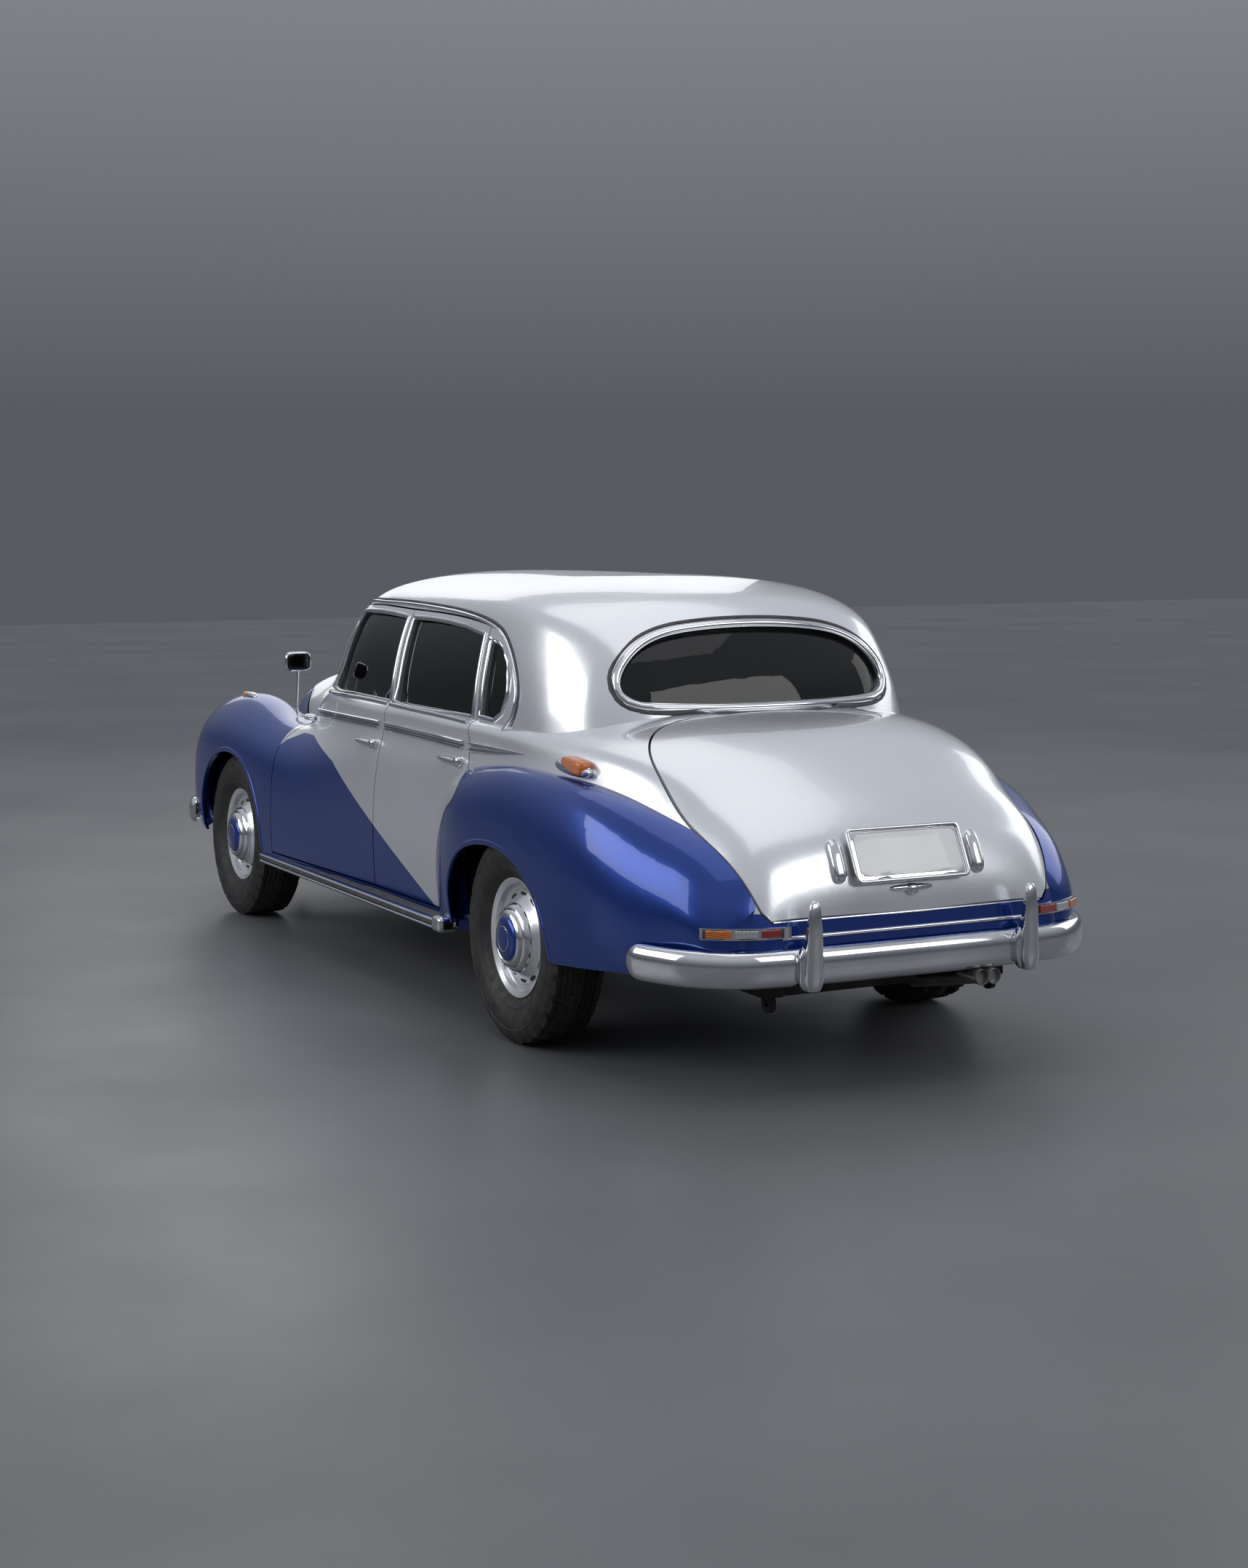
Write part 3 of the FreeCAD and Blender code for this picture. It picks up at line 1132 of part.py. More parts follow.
# Document objects of the pieces that the functions above made
made = {}
for name, shape in (("body_shell", body_shell), ("roof_shell", roof_shell), ("bonnet", bonnet),
                    ("boot_lid", boot_lid), ("rear_wings", both(rear_wing)), ("front_wings", nose),
                    ("fixed_glass", Part.makeCompound(panes)), ("chassis_frame", chassis),
                    ("floor_pan", floor), ("inner_wings", both(inner_wing)),
                    ("front_suspension", Part.makeCompound([front_suspension, lower_arms])),
                    ("knuckle_left", knuckle), ("knuckle_right", mirrored(knuckle)), ("rear_axle", rear_axle),
                    ("rear_bumper", rear_bumper), ("front_bumper", front_bumper),
                    ("running_boards", both(board)), ("front_lamps", front_lamps), ("rear_lamps", rear_lamps),
                    ("boot_fittings", boot_fittings), ("mirrors", both(mirror)), ("radiator_grille", grille),
                    ("dashboard", dashboard), ("steering_wheel", steering_wheel)):
    made[name] = feature(name, shape)
for end in doors:
    for kind, shape in zip(("door", "door_glass"), doors[end]):
        for side, sided in (("left", shape), ("right", mirrored(shape))):
            name = "%s_%s_%s" % (kind, end, side)
            made[name] = feature(name, sided)
for end, axle_y, track in (("front", front_axle_y, mm("track_front")),
                           ("rear", rear_axle_y, mm("track_rear"))):
    for side, sign in (("left", 1), ("right", -1)):
        turn = Rotation(Vector(0, 0, 1), 0 if sign > 0 else 180)
        place = Placement(Vector(sign * track / 2, axle_y, wheel_radius), turn)
        for kind, shape in (("tyre", tyre), ("wheel", wheel)):
            name = "%s_%s_%s" % (kind, end, side)
            made[name] = feature(name, shape)
            made[name].Placement = place


# Boxes bound to the sheet: the engine, the tank and the seats
def bound_box(name, formulas):
    return bound(doc.addObject("Part::Box", name), formulas)


def fused(name, parts):
    joined = doc.addObject("Part::MultiFuse", name)
    joined.Shapes = parts
    joined.Label = name
    return joined


rear_axle_text = "(front_overhang + wheelbase - overall_length / 2)"
made["engine_block"] = bound_box("engine_block", {
    "Length": "engine_width", "Width": "engine_length", "Height": "engine_height",
    "Placement.Base.x": "-engine_width / 2", "Placement.Base.z": "engine_base",
    "Placement.Base.y": "front_overhang - overall_length / 2 - engine_length * %g" % engine_place_share})
rail_end_text = "rail_base + rail_height + overall_height * %g" % rail_rise_shares[-1][1]
made["fuel_tank"] = bound_box("fuel_tank", {
    "Length": "tank_width", "Width": "tank_length", "Height": "tank_height",
    "Placement.Base.x": "-tank_width / 3",
    "Placement.Base.z": rail_end_text + " - tank_height",
    "Placement.Base.y": rear_axle_text + " + tank_length"})
floor_top_text = "(rail_base + rail_height + sheet_wall + 2 * seat_clearance)"
for name, y_share, width_text in (("front_seat", -front_seat_share, "seat_width"),
                                  ("rear_seat", rear_seat_share, "rear_seat_width")):
    y_text = "seat_spacing * %g" % y_share
    cushion = bound_box(name + "_cushion", {
        "Length": width_text, "Width": "cushion_depth", "Height": "cushion_height",
        "Placement.Base.x": "-" + width_text + " / 2", "Placement.Base.y": y_text,
        "Placement.Base.z": "cushion_base"})
    squab = bound_box(name + "_squab", {
        "Length": width_text, "Width": "squab_thickness", "Height": "squab_height",
        "Placement.Base.x": "-" + width_text + " / 2",
        "Placement.Base.y": y_text + " + cushion_depth - squab_thickness / 4",
        "Placement.Base.z": "cushion_base + cushion_height * %g" % seat_base_share})
    base = bound_box(name + "_base", {
        "Length": "seat_width * %g" % seat_base_share, "Width": "cushion_depth * %g" % seat_base_share,
        "Height": "cushion_base - " + floor_top_text,
        "Placement.Base.x": "-seat_width * %g / 2" % seat_base_share,
        "Placement.Base.y": y_text + " + cushion_depth * (1 - %g) / 2" % seat_base_share,
        "Placement.Base.z": floor_top_text})
    made[name] = fused(name, [cushion, squab, base])

# Exhaust: straight runs between balls of the same size
pipe_radius = mm("pipe_diameter") / 2
pipe_points = [at_share(share) for share in exhaust_shares]
pipes = []
for start, end in zip(pipe_points, pipe_points[1:]):
    pipes.append(Part.makeCylinder(pipe_radius, (end - start).Length, start, end - start))
    pipes.append(Part.makeSphere(pipe_radius, start))
silencer_length = half_length * silencer_share
silencer = Part.makeCylinder(mm("silencer_diameter") / 2, silencer_length,
                             pipe_points[0] + Vector(0, silencer_length * 1.5, 0), Vector(0, 1, 0))
last_run = pipe_points[-1] - pipe_points[-2]
twin_start = pipe_points[-2] - Vector(2 * pipe_radius + gap, 0, 0)
pipes.append(Part.makeCylinder(pipe_radius, last_run.Length, twin_start, last_run))
pipes.append(Part.makeSphere(pipe_radius, twin_start))
pipes.append(Part.makeCylinder(pipe_radius, (pipe_points[-2] - twin_start).Length, twin_start, across_axis))
made["exhaust"] = feature("exhaust", pipes[0].fuse(pipes[1:] + [silencer]))

doc.recompute()
for obj in doc.Objects:
    if "Invalid" in obj.State or "Error" in obj.State:
        raise RuntimeError("%s did not build" % obj.Name)
os.makedirs("parts", exist_ok=True)
for name, obj in made.items():
    if obj.Shape.isNull() or not obj.Shape.isValid():
        raise RuntimeError("%s has no valid shape" % name)
    obj.Shape.exportStep(os.path.join("parts", name + ".step"))
    box = obj.Shape.optimalBoundingBox()
    print(name, len(obj.Shape.Solids), round(obj.Shape.Volume / 1e6, 2),
          [round(v) for v in (box.XMin, box.XMax, box.YMin, box.YMax, box.ZMin, box.ZMax)])
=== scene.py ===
import math

import bmesh
import bpy
from mathutils import Matrix, Vector
from mathutils.bvhtree import BVHTree


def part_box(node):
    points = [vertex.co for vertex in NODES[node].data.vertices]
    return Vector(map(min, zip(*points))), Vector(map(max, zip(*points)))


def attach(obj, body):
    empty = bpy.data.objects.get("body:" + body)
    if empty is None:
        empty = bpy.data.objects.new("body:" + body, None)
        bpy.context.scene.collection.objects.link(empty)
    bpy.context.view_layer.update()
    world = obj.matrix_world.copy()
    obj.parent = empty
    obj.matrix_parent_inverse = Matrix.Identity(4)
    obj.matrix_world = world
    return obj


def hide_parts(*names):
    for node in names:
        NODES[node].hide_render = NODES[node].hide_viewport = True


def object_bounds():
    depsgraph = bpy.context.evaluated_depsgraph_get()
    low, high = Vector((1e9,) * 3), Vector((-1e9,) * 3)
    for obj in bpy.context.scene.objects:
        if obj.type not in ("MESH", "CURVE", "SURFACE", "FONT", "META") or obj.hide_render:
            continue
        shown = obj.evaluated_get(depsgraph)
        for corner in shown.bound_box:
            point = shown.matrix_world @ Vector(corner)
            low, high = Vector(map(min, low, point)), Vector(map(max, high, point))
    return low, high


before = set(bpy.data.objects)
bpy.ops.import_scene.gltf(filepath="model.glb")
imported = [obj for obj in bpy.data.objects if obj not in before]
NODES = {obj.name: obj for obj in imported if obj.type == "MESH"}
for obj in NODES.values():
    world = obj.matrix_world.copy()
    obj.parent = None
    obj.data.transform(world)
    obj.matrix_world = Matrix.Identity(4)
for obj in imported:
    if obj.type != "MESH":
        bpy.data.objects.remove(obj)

CAD_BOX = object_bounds()
ENDS = ("front", "rear")
SIDES = {"left": 1, "right": -1}

# The camera of the photograph
CAMERA_PLACE = Vector((4.456, 9.055, 1.858))
CAMERA_HEADING = math.radians(152.52)
PHOTO_SIZE = (1716, 2156)
FOCAL_PIXELS = 3365.8
SHIFT_PIXELS = -378.6
SENSOR = 36.0


# Materials
COAT_ROUGHNESS = 0.03
REFRACTION = 1.45
NOISE_RANGE = (0.3, 0.7)
PAINT_COAT = 0.8
PAINT_METALLIC = 0.65
PAINT_ROUGHNESS = (0.22, 0.28)
FLAKE_SCALE = 2600
RIPPLE_SCALE, RIPPLE_HEIGHT = 420, 0.00001


def new_material(name, color, metallic=0.0, roughness=0.5, coat=0.0, transmission=0.0):
    """A principled material; its links are added by the functions below."""
    material = bpy.data.materials.new(name)
    material.use_nodes = True
    shader = material.node_tree.nodes["Principled BSDF"]
    shader.inputs["Base Color"].default_value = (*color, 1)
    shader.inputs["Metallic"].default_value = metallic
    shader.inputs["Roughness"].default_value = roughness
    shader.inputs["Coat Weight"].default_value = coat
    shader.inputs["Coat Roughness"].default_value = COAT_ROUGHNESS
    shader.inputs["Transmission Weight"].default_value = transmission
    shader.inputs["IOR"].default_value = REFRACTION
    return material


def place_node(material):
    """Texture coordinates in metres that move with the piece."""
    return material.node_tree.nodes.new("ShaderNodeTexCoord").outputs["Object"]


def noise(material, scale, detail=4.0):
    """A noise in the piece's own metres."""
    node = material.node_tree.nodes.new("ShaderNodeTexNoise")
    node.inputs["Scale"].default_value = scale
    node.inputs["Detail"].default_value = detail
    material.node_tree.links.new(place_node(material), node.inputs["Vector"])
    return node.outputs["Fac"]


def spread(material, source, low, high):
    """The noise stretched between two values."""
    node = material.node_tree.nodes.new("ShaderNodeMapRange")
    node.inputs["From Min"].default_value = NOISE_RANGE[0]
    node.inputs["From Max"].default_value = NOISE_RANGE[1]
    node.inputs["To Min"].default_value = low
    node.inputs["To Max"].default_value = high
    material.node_tree.links.new(source, node.inputs["Value"])
    return node.outputs["Result"]


def mix(material, factor, first, second):
    """A colour between two, each a colour or a socket."""
    node = material.node_tree.nodes.new("ShaderNodeMix")
    node.data_type = "RGBA"
    material.node_tree.links.new(factor, node.inputs["Factor"])
    for name, value in (("A", first), ("B", second)):
        target = [socket for socket in node.inputs if socket.name == name and socket.type == "RGBA"][0]
        if isinstance(value, tuple):
            target.default_value = (*value, 1)
        else:
            material.node_tree.links.new(value, target)
    return [socket for socket in node.outputs if socket.type == "RGBA"][0]


def shade(material, socket_name, value):
    material.node_tree.links.new(value, material.node_tree.nodes["Principled BSDF"].inputs[socket_name])


def bump(material, height, distance):
    """A bump of that many metres."""
    node = material.node_tree.nodes.new("ShaderNodeBump")
    node.inputs["Strength"].default_value = 1.0
    node.inputs["Distance"].default_value = distance
    material.node_tree.links.new(height, node.inputs["Height"])
    shade(material, "Normal", node.outputs["Normal"])


def varied(name, metallic, colors, scale, roughness, bump_scale=None, bump_height=0.0, **kinds):
    """A material whose colour and roughness wander over the surface, with a bump."""
    material = new_material(name, colors[0], metallic, roughness[0], **kinds)
    shade(material, "Base Color", mix(material, spread(material, noise(material, scale), 0, 1), *colors))
    shade(material, "Roughness", spread(material, noise(material, scale * 1.7), *roughness))
    if bump_scale:
        bump(material, noise(material, bump_scale), bump_height)
    return material


def math_node(material, operation, first, second):
    """One sum with sockets or numbers."""
    node = material.node_tree.nodes.new("ShaderNodeMath")
    node.operation = operation
    for socket, value in zip(node.inputs, (first, second)):
        if isinstance(value, (int, float)):
            socket.default_value = value
        else:
            material.node_tree.links.new(value, socket)
    return node.outputs[0]


# near black laid over the paint on the inner sides of the wheel arches
ARCH_DARK = (0.012, 0.012, 0.013)
# the wheel arches' inner sides: (half width, front end, rear end, top)
ARCH_ZONES = [(0.775, 0.8, 1.76, 0.8), (0.855, 0.81, 1.66, 0.66), (0.745, -2.14, -1.24, 0.82),
              (0.845, -2.12, -1.28, 0.72)]


def darkened_in_arches(material, color):
    """The colour, but dark on the inner sides of the wheel arches."""
    split = material.node_tree.nodes.new("ShaderNodeSeparateXYZ")
    material.node_tree.links.new(place_node(material), split.inputs[0])
    width = math_node(material, "ABSOLUTE", split.outputs["X"], 0.0)
    for half_width, low, high, top in ARCH_ZONES:
        inside = math_node(material, "LESS_THAN", width, half_width)
        for operation, socket, limit in (("GREATER_THAN", "Y", low), ("LESS_THAN", "Y", high),
                                         ("LESS_THAN", "Z", top)):
            test = math_node(material, operation, split.outputs[socket], limit)
            inside = math_node(material, "MULTIPLY", inside, test)
        color = mix(material, inside, color, ARCH_DARK)
    return color


def flakes(material, color, darker):
    """A colour with metal flakes in it."""
    return mix(material, spread(material, noise(material, FLAKE_SCALE, 1.0), 0, 1), color, darker)


def lacquered(material, color):
    """The colour as lacquer, with the slight ripple of a sprayed skin."""
    shade(material, "Base Color", color)
    shade(material, "Roughness", spread(material, noise(material, 3.0), *PAINT_ROUGHNESS))
    bump(material, noise(material, RIPPLE_SCALE, 1.0), RIPPLE_HEIGHT)
    return material


def paint(name, color, darker, metallic=PAINT_METALLIC, arches=False):
    """Lacquer of one colour under a clear coat."""
    material = new_material(name, color, metallic, PAINT_ROUGHNESS[1], coat=PAINT_COAT)
    lacquer = flakes(material, color, darker)
    return lacquered(material, darkened_in_arches(material, lacquer) if arches else lacquer)


SILVER = (0.86, 0.88, 0.91)
SILVER_DARK = (0.75, 0.77, 0.81)
BLUE = (0.01, 0.06, 0.37)
BLUE_DARK = (0.004, 0.026, 0.19)


def two_tone(name, lines):
    """Silver above and blue below the lowest of some lines, each (height at the middle, slope)."""
    material = new_material(name, SILVER, PAINT_METALLIC, PAINT_ROUGHNESS[1], coat=PAINT_COAT)
    split = material.node_tree.nodes.new("ShaderNodeSeparateXYZ")
    material.node_tree.links.new(place_node(material), split.inputs[0])
    border = None
    for start, slope in lines:
        line = math_node(material, "ADD", math_node(material, "MULTIPLY", split.outputs["Y"], slope), start)
        border = line if border is None else math_node(material, "MINIMUM", border, line)
    below = math_node(material, "LESS_THAN", split.outputs["Z"], border)
    silver = flakes(material, SILVER, SILVER_DARK)
    blue = flakes(material, BLUE, BLUE_DARK)
    return lacquered(material, darkened_in_arches(material, mix(material, below, silver, blue)))


# the border on the doors, as straight lines from its rear end to its front end
DOOR_BORDER = [(0.5722, -0.4217), (0.6362, -0.337), (0.6812, -0.2255), (0.8835, 0.0), (1.2435, 0.348),
               (1.952, 0.967)]
TAIL_BORDER = [(0.592, 0.0)]
silver_paint = paint("silver_paint_mat", SILVER, SILVER_DARK)
blue_paint = paint("blue_paint_mat", BLUE, BLUE_DARK, arches=True)
door_paint = two_tone("door_paint_mat", DOOR_BORDER)
tail_paint = two_tone("tail_paint_mat", TAIL_BORDER)
wheel_paint = paint("wheel_paint_mat", (0.74, 0.75, 0.77), (0.62, 0.63, 0.66), 0.6)
chrome = varied("chrome_mat", 1.0, ((0.8, 0.81, 0.83), (0.66, 0.67, 0.7)), 5, (0.05, 0.13), 60, 0.00003)
# glass tinted near black: painted shade of the dim cabin behind it, used on the mirror faces too
painted_shade_glass = varied("painted_shade_glass_mat", 0.0, ((0.014, 0.016, 0.018), (0.024, 0.026, 0.028)), 2, (0.01, 0.03),
                    transmission=0.93)
rubber = varied("rubber_mat", 0.0, ((0.014, 0.014, 0.015), (0.035, 0.034, 0.033)), 22, (0.48, 0.72), 900,
                0.00008)
trim_rubber = varied("trim_rubber_mat", 0.0, ((0.04, 0.04, 0.045), (0.085, 0.085, 0.09)), 18, (0.42, 0.62), 700,
                     0.00006)
black_metal = varied("black_metal_mat", 0.2, ((0.016, 0.016, 0.018), (0.04, 0.038, 0.036)), 9, (0.45, 0.75),
                     260, 0.0003)
iron = varied("iron_mat", 0.8, ((0.2, 0.2, 0.21), (0.1, 0.095, 0.09)), 14, (0.4, 0.7), 320, 0.0004)
steel = varied("steel_mat", 0.9, ((0.38, 0.38, 0.39), (0.22, 0.21, 0.2)), 11, (0.3, 0.55), 150, 0.0001)
leather = varied("leather_mat", 0.0, ((0.12, 0.1, 0.09), (0.065, 0.055, 0.05)), 16, (0.36, 0.56), 480, 0.0006)
ivory = varied("ivory_mat", 0.0, ((0.66, 0.61, 0.51), (0.54, 0.5, 0.41)), 12, (0.22, 0.36), 200, 0.00005,
               coat=0.6)
white_enamel = varied("white_enamel_mat", 0.0, ((0.9, 0.9, 0.89), (0.84, 0.84, 0.84)), 6, (0.2, 0.3), 90,
                      0.00005, coat=0.5)


def lens(name, color, deeper):
    """Moulded lamp lens with a fine pattern of flutes."""
    material = new_material(name, color, 0.0, 0.12, coat=1.0, transmission=0.35)
    wave = material.node_tree.nodes.new("ShaderNodeTexWave")
    wave.wave_type = "BANDS"
    wave.bands_direction = "DIAGONAL"
    wave.inputs["Scale"].default_value = 90
    wave.inputs["Distortion"].default_value = 0.4
    material.node_tree.links.new(place_node(material), wave.inputs["Vector"])
    shade(material, "Base Color", mix(material, wave.outputs["Fac"], color, deeper))
    bump(material, wave.outputs["Fac"], 0.0008)
    return material


amber_lens = lens("amber_lens_mat", (0.95, 0.3, 0.02), (0.7, 0.13, 0.01))
red_lens = lens("red_lens_mat", (0.5, 0.012, 0.015), (0.28, 0.004, 0.006))
clear_lens = lens("clear_lens_mat", (0.72, 0.73, 0.74), (0.45, 0.46, 0.48))


def wood():
    """Polished veneer with its grain along the car's width."""
    material = new_material("wood_mat", (0.2, 0.09, 0.04), 0.0, 0.3, coat=1.0)
    stretch = material.node_tree.nodes.new("ShaderNodeMapping")
    stretch.inputs["Scale"].default_value = (0.6, 9, 9)
    grain = material.node_tree.nodes.new("ShaderNodeTexNoise")
    grain.inputs["Scale"].default_value = 9
    grain.inputs["Detail"].default_value = 8
    grain.inputs["Distortion"].default_value = 1.2
    links = material.node_tree.links
    links.new(place_node(material), stretch.inputs["Vector"])
    links.new(stretch.outputs["Vector"], grain.inputs["Vector"])
    tone = spread(material, grain.outputs["Fac"], 0, 1)
    shade(material, "Base Color", mix(material, tone, (0.26, 0.12, 0.05), (0.09, 0.035, 0.015)))
    bump(material, grain.outputs["Fac"], 0.0001)
    return material


veneer = wood()

# the material slot of each node's pieces
NODE_MATERIALS = {"body_shell": tail_paint, "fixed_glass": painted_shade_glass, "dashboard": veneer,
                  "steering_wheel": ivory, "exhaust": steel}
for material, names in (
        (silver_paint, "roof_shell bonnet boot_lid"),
        (blue_paint, "front_wings rear_wings running_boards"),
        (black_metal, "chassis_frame floor_pan inner_wings front_suspension fuel_tank"),
        (iron, "knuckle_left knuckle_right rear_axle engine_block"),
        (chrome, "front_bumper rear_bumper front_lamps rear_lamps boot_fittings mirrors radiator_grille"),
        (leather, "front_seat rear_seat")):
    NODE_MATERIALS.update(dict.fromkeys(names.split(), material))
for end in ENDS:
    for side in SIDES:
        NODE_MATERIALS["door_%s_%s" % (end, side)] = door_paint
        NODE_MATERIALS["door_glass_%s_%s" % (end, side)] = painted_shade_glass
        NODE_MATERIALS["tyre_%s_%s" % (end, side)] = rubber
        NODE_MATERIALS["wheel_%s_%s" % (end, side)] = wheel_paint
for node_name, node_object in NODES.items():
    node_object.data.materials.clear()
    node_object.data.materials.append(NODE_MATERIALS[node_name])


# Shapes
SIDE_CAST, END_CAST = 1.5, 3.5
EVENING_ROUNDS, EVENING_SHARE = 6, 0.5
TAPER_WIDTH, TAPER_HEIGHT = 0.15, 0.4
TRIM_STEP = 0.03
LEAST_RADIUS = 0.0001


def piece(name, part, material, body, angle=40):
    """A mesh piece of (vertices, faces) that rides on a body; edges sharper than the angle stay sharp."""
    vertices, faces = part
    mesh = bpy.data.meshes.new(name)
    mesh.from_pydata([tuple(v) for v in vertices], [], faces)
    mesh.validate()
    helper = bmesh.new()
    helper.from_mesh(mesh)
    bmesh.ops.recalc_face_normals(helper, faces=helper.faces)
    helper.to_mesh(mesh)
    helper.free()
    mesh.materials.append(material)
    made = bpy.data.objects.new(name, mesh)
    bpy.context.scene.collection.objects.link(made)
    mesh.shade_smooth()
    mesh.set_sharp_from_angle(angle=math.radians(angle))
    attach(made, body)
    return made


def mirrored(points):
    return [Vector((-p[0], p[1], p[2])) for p in points]


def joined(parts):
    """Several (vertices, faces) pairs as one."""
    vertices, faces = [], []
    for part_vertices, part_faces in parts:
        base = len(vertices)
        vertices += list(part_vertices)
        faces += [[index + base for index in face] for face in part_faces]
    return vertices, faces


def grid(rows, size, closed=False, ring=True):
    """Quads between rows of equally many points; closed joins the last row to the first, ring a row's ends."""
    faces = []
    for i in range(rows if closed else rows - 1):
        for k in range(size if ring else size - 1):
            here, after, m = i * size, (i + 1) % rows * size, (k + 1) % size
            faces.append([here + k, here + m, after + m, after + k])
    return faces


def signed_power(value, power):
    return math.copysign(abs(value) ** power, value)


def surface(*names):
    """The CAD surfaces of some nodes, to lay trim on."""
    vertices, faces = [], []
    for name in names:
        base = len(vertices)
        vertices += [vertex.co.copy() for vertex in NODES[name].data.vertices]
        faces += [[index + base for index in polygon.vertices] for polygon in NODES[name].data.polygons]
    return BVHTree.FromPolygons(vertices, faces)


def smooth_points(points, step, closed=False):
    """Points at about equal steps on a smooth curve through the given ones."""
    points = [Vector(p) for p in points]
    count = len(points)
    dense = []
    spans = count if closed else count - 1
    for index in range(spans):
        if closed:
            a, b, c, d = (points[(index + k) % count] for k in (-1, 0, 1, 2))
        else:
            b, c = points[index], points[index + 1]
            a = points[index - 1] if index else b * 2 - c
            d = points[index + 2] if index + 2 < count else c * 2 - b
        parts = max(1, int(round((c - b).length / step)))
        for part in range(parts):
            t = part / parts
            dense.append(0.5 * ((2 * b) + (c - a) * t + (2 * a - 5 * b + 4 * c - d) * t * t
                                + (3 * b - a - 3 * c + d) * t * t * t))
    if not closed:
        dense.append(points[-1])
    return dense


def flat_curve(points, step=TRIM_STEP, closed=False):
    """2-D points at about equal steps on a smooth curve through the given ones."""
    return [(p[0], p[1]) for p in smooth_points([(a, b, 0) for a, b in points], step, closed)]


def offset_loop(points, distance):
    """A closed flat loop of 2-D points moved outwards."""
    area = sum(a[0] * b[1] - b[0] * a[1] for a, b in zip(points, points[1:] + points[:1]))
    turn = 1 if area > 0 else -1
    moved = []
    for index, point in enumerate(points):
        before, after = Vector(points[index - 1]), Vector(points[(index + 1) % len(points)])
        along = (after - before).normalized()
        moved.append((point[0] + turn * along.y * distance, point[1] - turn * along.x * distance))
    return moved


def cast(tree, origin, direction):
    """Where a ray meets a surface, as (place, outward normal), or None."""
    place, normal, _, _ = tree.ray_cast(Vector(origin), Vector(direction))
    if place is None:
        return None
    if normal.dot(Vector(direction)) > 0:
        normal = -normal
    return place, normal


def on_side(tree, points):
    """Side outline points (y, z) laid on the left side."""
    hits = [cast(tree, (SIDE_CAST, y, z), (-1, 0, 0)) for y, z in points]
    return [hit for hit in hits if hit]


def on_end(tree, points, facing):
    """Outline points (x, z) laid on the tail (facing 1) or the nose (facing -1)."""
    hits = [cast(tree, (x, END_CAST * facing, z), (0, -facing, 0)) for x, z in points]
    return [hit for hit in hits if hit]


# moulding sections: (share of the width, share of the height)
BEAD = [(-0.5, -0.6), (-0.5, 0.1), (-0.42, 0.5), (-0.25, 0.85), (0, 1), (0.25, 0.85), (0.42, 0.5),
        (0.5, 0.1), (0.5, -0.6)]
CHANNEL = [(-0.5, -0.6), (-0.5, 0.7), (-0.4, 1), (-0.28, 1), (-0.18, 0.35), (0, 0.55), (0.18, 0.35), (0.28, 1),
           (0.4, 1), (0.5, 0.7), (0.5, -0.6)]
FLAT = [(-0.5, -0.6), (-0.5, 0.6), (-0.4, 1), (0.4, 1), (0.5, 0.6), (0.5, -0.6)]


def strip(hits, width, height, section=BEAD, closed=False, taper=0.0):
    """A moulding along surface points: section across the width and out along the normal."""
    places = [hit[0] for hit in hits]
    normals = [hit[1] for hit in hits]
    count = len(places)
    # normals are averaged, so that facets don't show in the trim
    for _ in range(EVENING_ROUNDS):
        normals = [(normals[(i - 1) % count if closed else max(i - 1, 0)] + normals[i] * 2
                    + normals[(i + 1) % count if closed else min(i + 1, count - 1)]).normalized()
                   for i in range(count)]
    # and the places are evened out along the normal only
    for _ in range(EVENING_ROUNDS):
        evened = []
        for i in range(count):
            before, after = places[i - 1], places[(i + 1) % count]
            if not closed and i in (0, count - 1):
                evened.append(places[i])
            else:
                lift = ((before + after) / 2 - places[i]).dot(normals[i])
                evened.append(places[i] + normals[i] * lift * EVENING_SHARE)
        places = evened
    vertices = []
    for i in range(count):
        ahead = places[(i + 1) % count] if closed else places[min(i + 1, count - 1)]
        behind = places[i - 1] if closed or i else places[0]
        along = (ahead - behind).normalized()
        across = along.cross(normals[i]).normalized()
        share = 1.0
        if taper and not closed:
            to_end = min(i, count - 1 - i) / max(1, taper * count)
            share = min(1.0, TAPER_WIDTH + (1 - TAPER_WIDTH) * to_end)
        rise = height * (TAPER_HEIGHT + (1 - TAPER_HEIGHT) * share)
        for u, v in section:
            vertices.append(places[i] + across * u * width * share + normals[i] * v * rise)
    size = len(section)
    faces = grid(count, size, closed)
    if not closed:
        faces.append(list(range(size)))
        faces.append(list(range((count - 1) * size, count * size))[::-1])
    return vertices, faces


def turned(profile, centre, axis, segments=96):
    """A solid of revolution from (along, out) points about an axis."""
    axis = Vector(axis).normalized()
    helper = Vector((0, 0, 1)) if abs(axis.z) < 0.9 else Vector((1, 0, 0))
    first = axis.cross(helper).normalized()
    second = axis.cross(first)
    vertices = []
    for step in range(segments):
        angle = 2 * math.pi * step / segments
        out = first * math.cos(angle) + second * math.sin(angle)
        vertices += [Vector(centre) + axis * along + out * max(radius, LEAST_RADIUS)
                     for along, radius in profile]
    return vertices, grid(segments, len(profile), True, False)


def loft(rings):
    """Skin through rings of equally many points, closed at both ends."""
    size = len(rings[0])
    last = (len(rings) - 1) * size
    faces = grid(len(rings), size) + [list(range(size))[::-1], list(range(last, last + size))]
    return [p for ring in rings for p in ring], faces


def rounded(centre, sizes, power=3.0, turn=None, segments=32, rings=16):
    """A rounded block: a superellipsoid of full sizes."""
    centre = Vector(centre)
    rows = []
    for i in range(1, rings):
        latitude = -math.pi / 2 + math.pi * i / rings
        row = []
        for k in range(segments):
            longitude = 2 * math.pi * k / segments
            raw = (math.cos(latitude) * math.cos(longitude), math.cos(latitude) * math.sin(longitude),
                   math.sin(latitude))
            scale = sum(abs(c) ** power for c in raw) ** (-1 / power)
            local = Vector([c * scale * s / 2 for c, s in zip(raw, sizes)])
            row.append(centre + (turn @ local if turn else local))
        rows.append(row)
    return loft(rows)


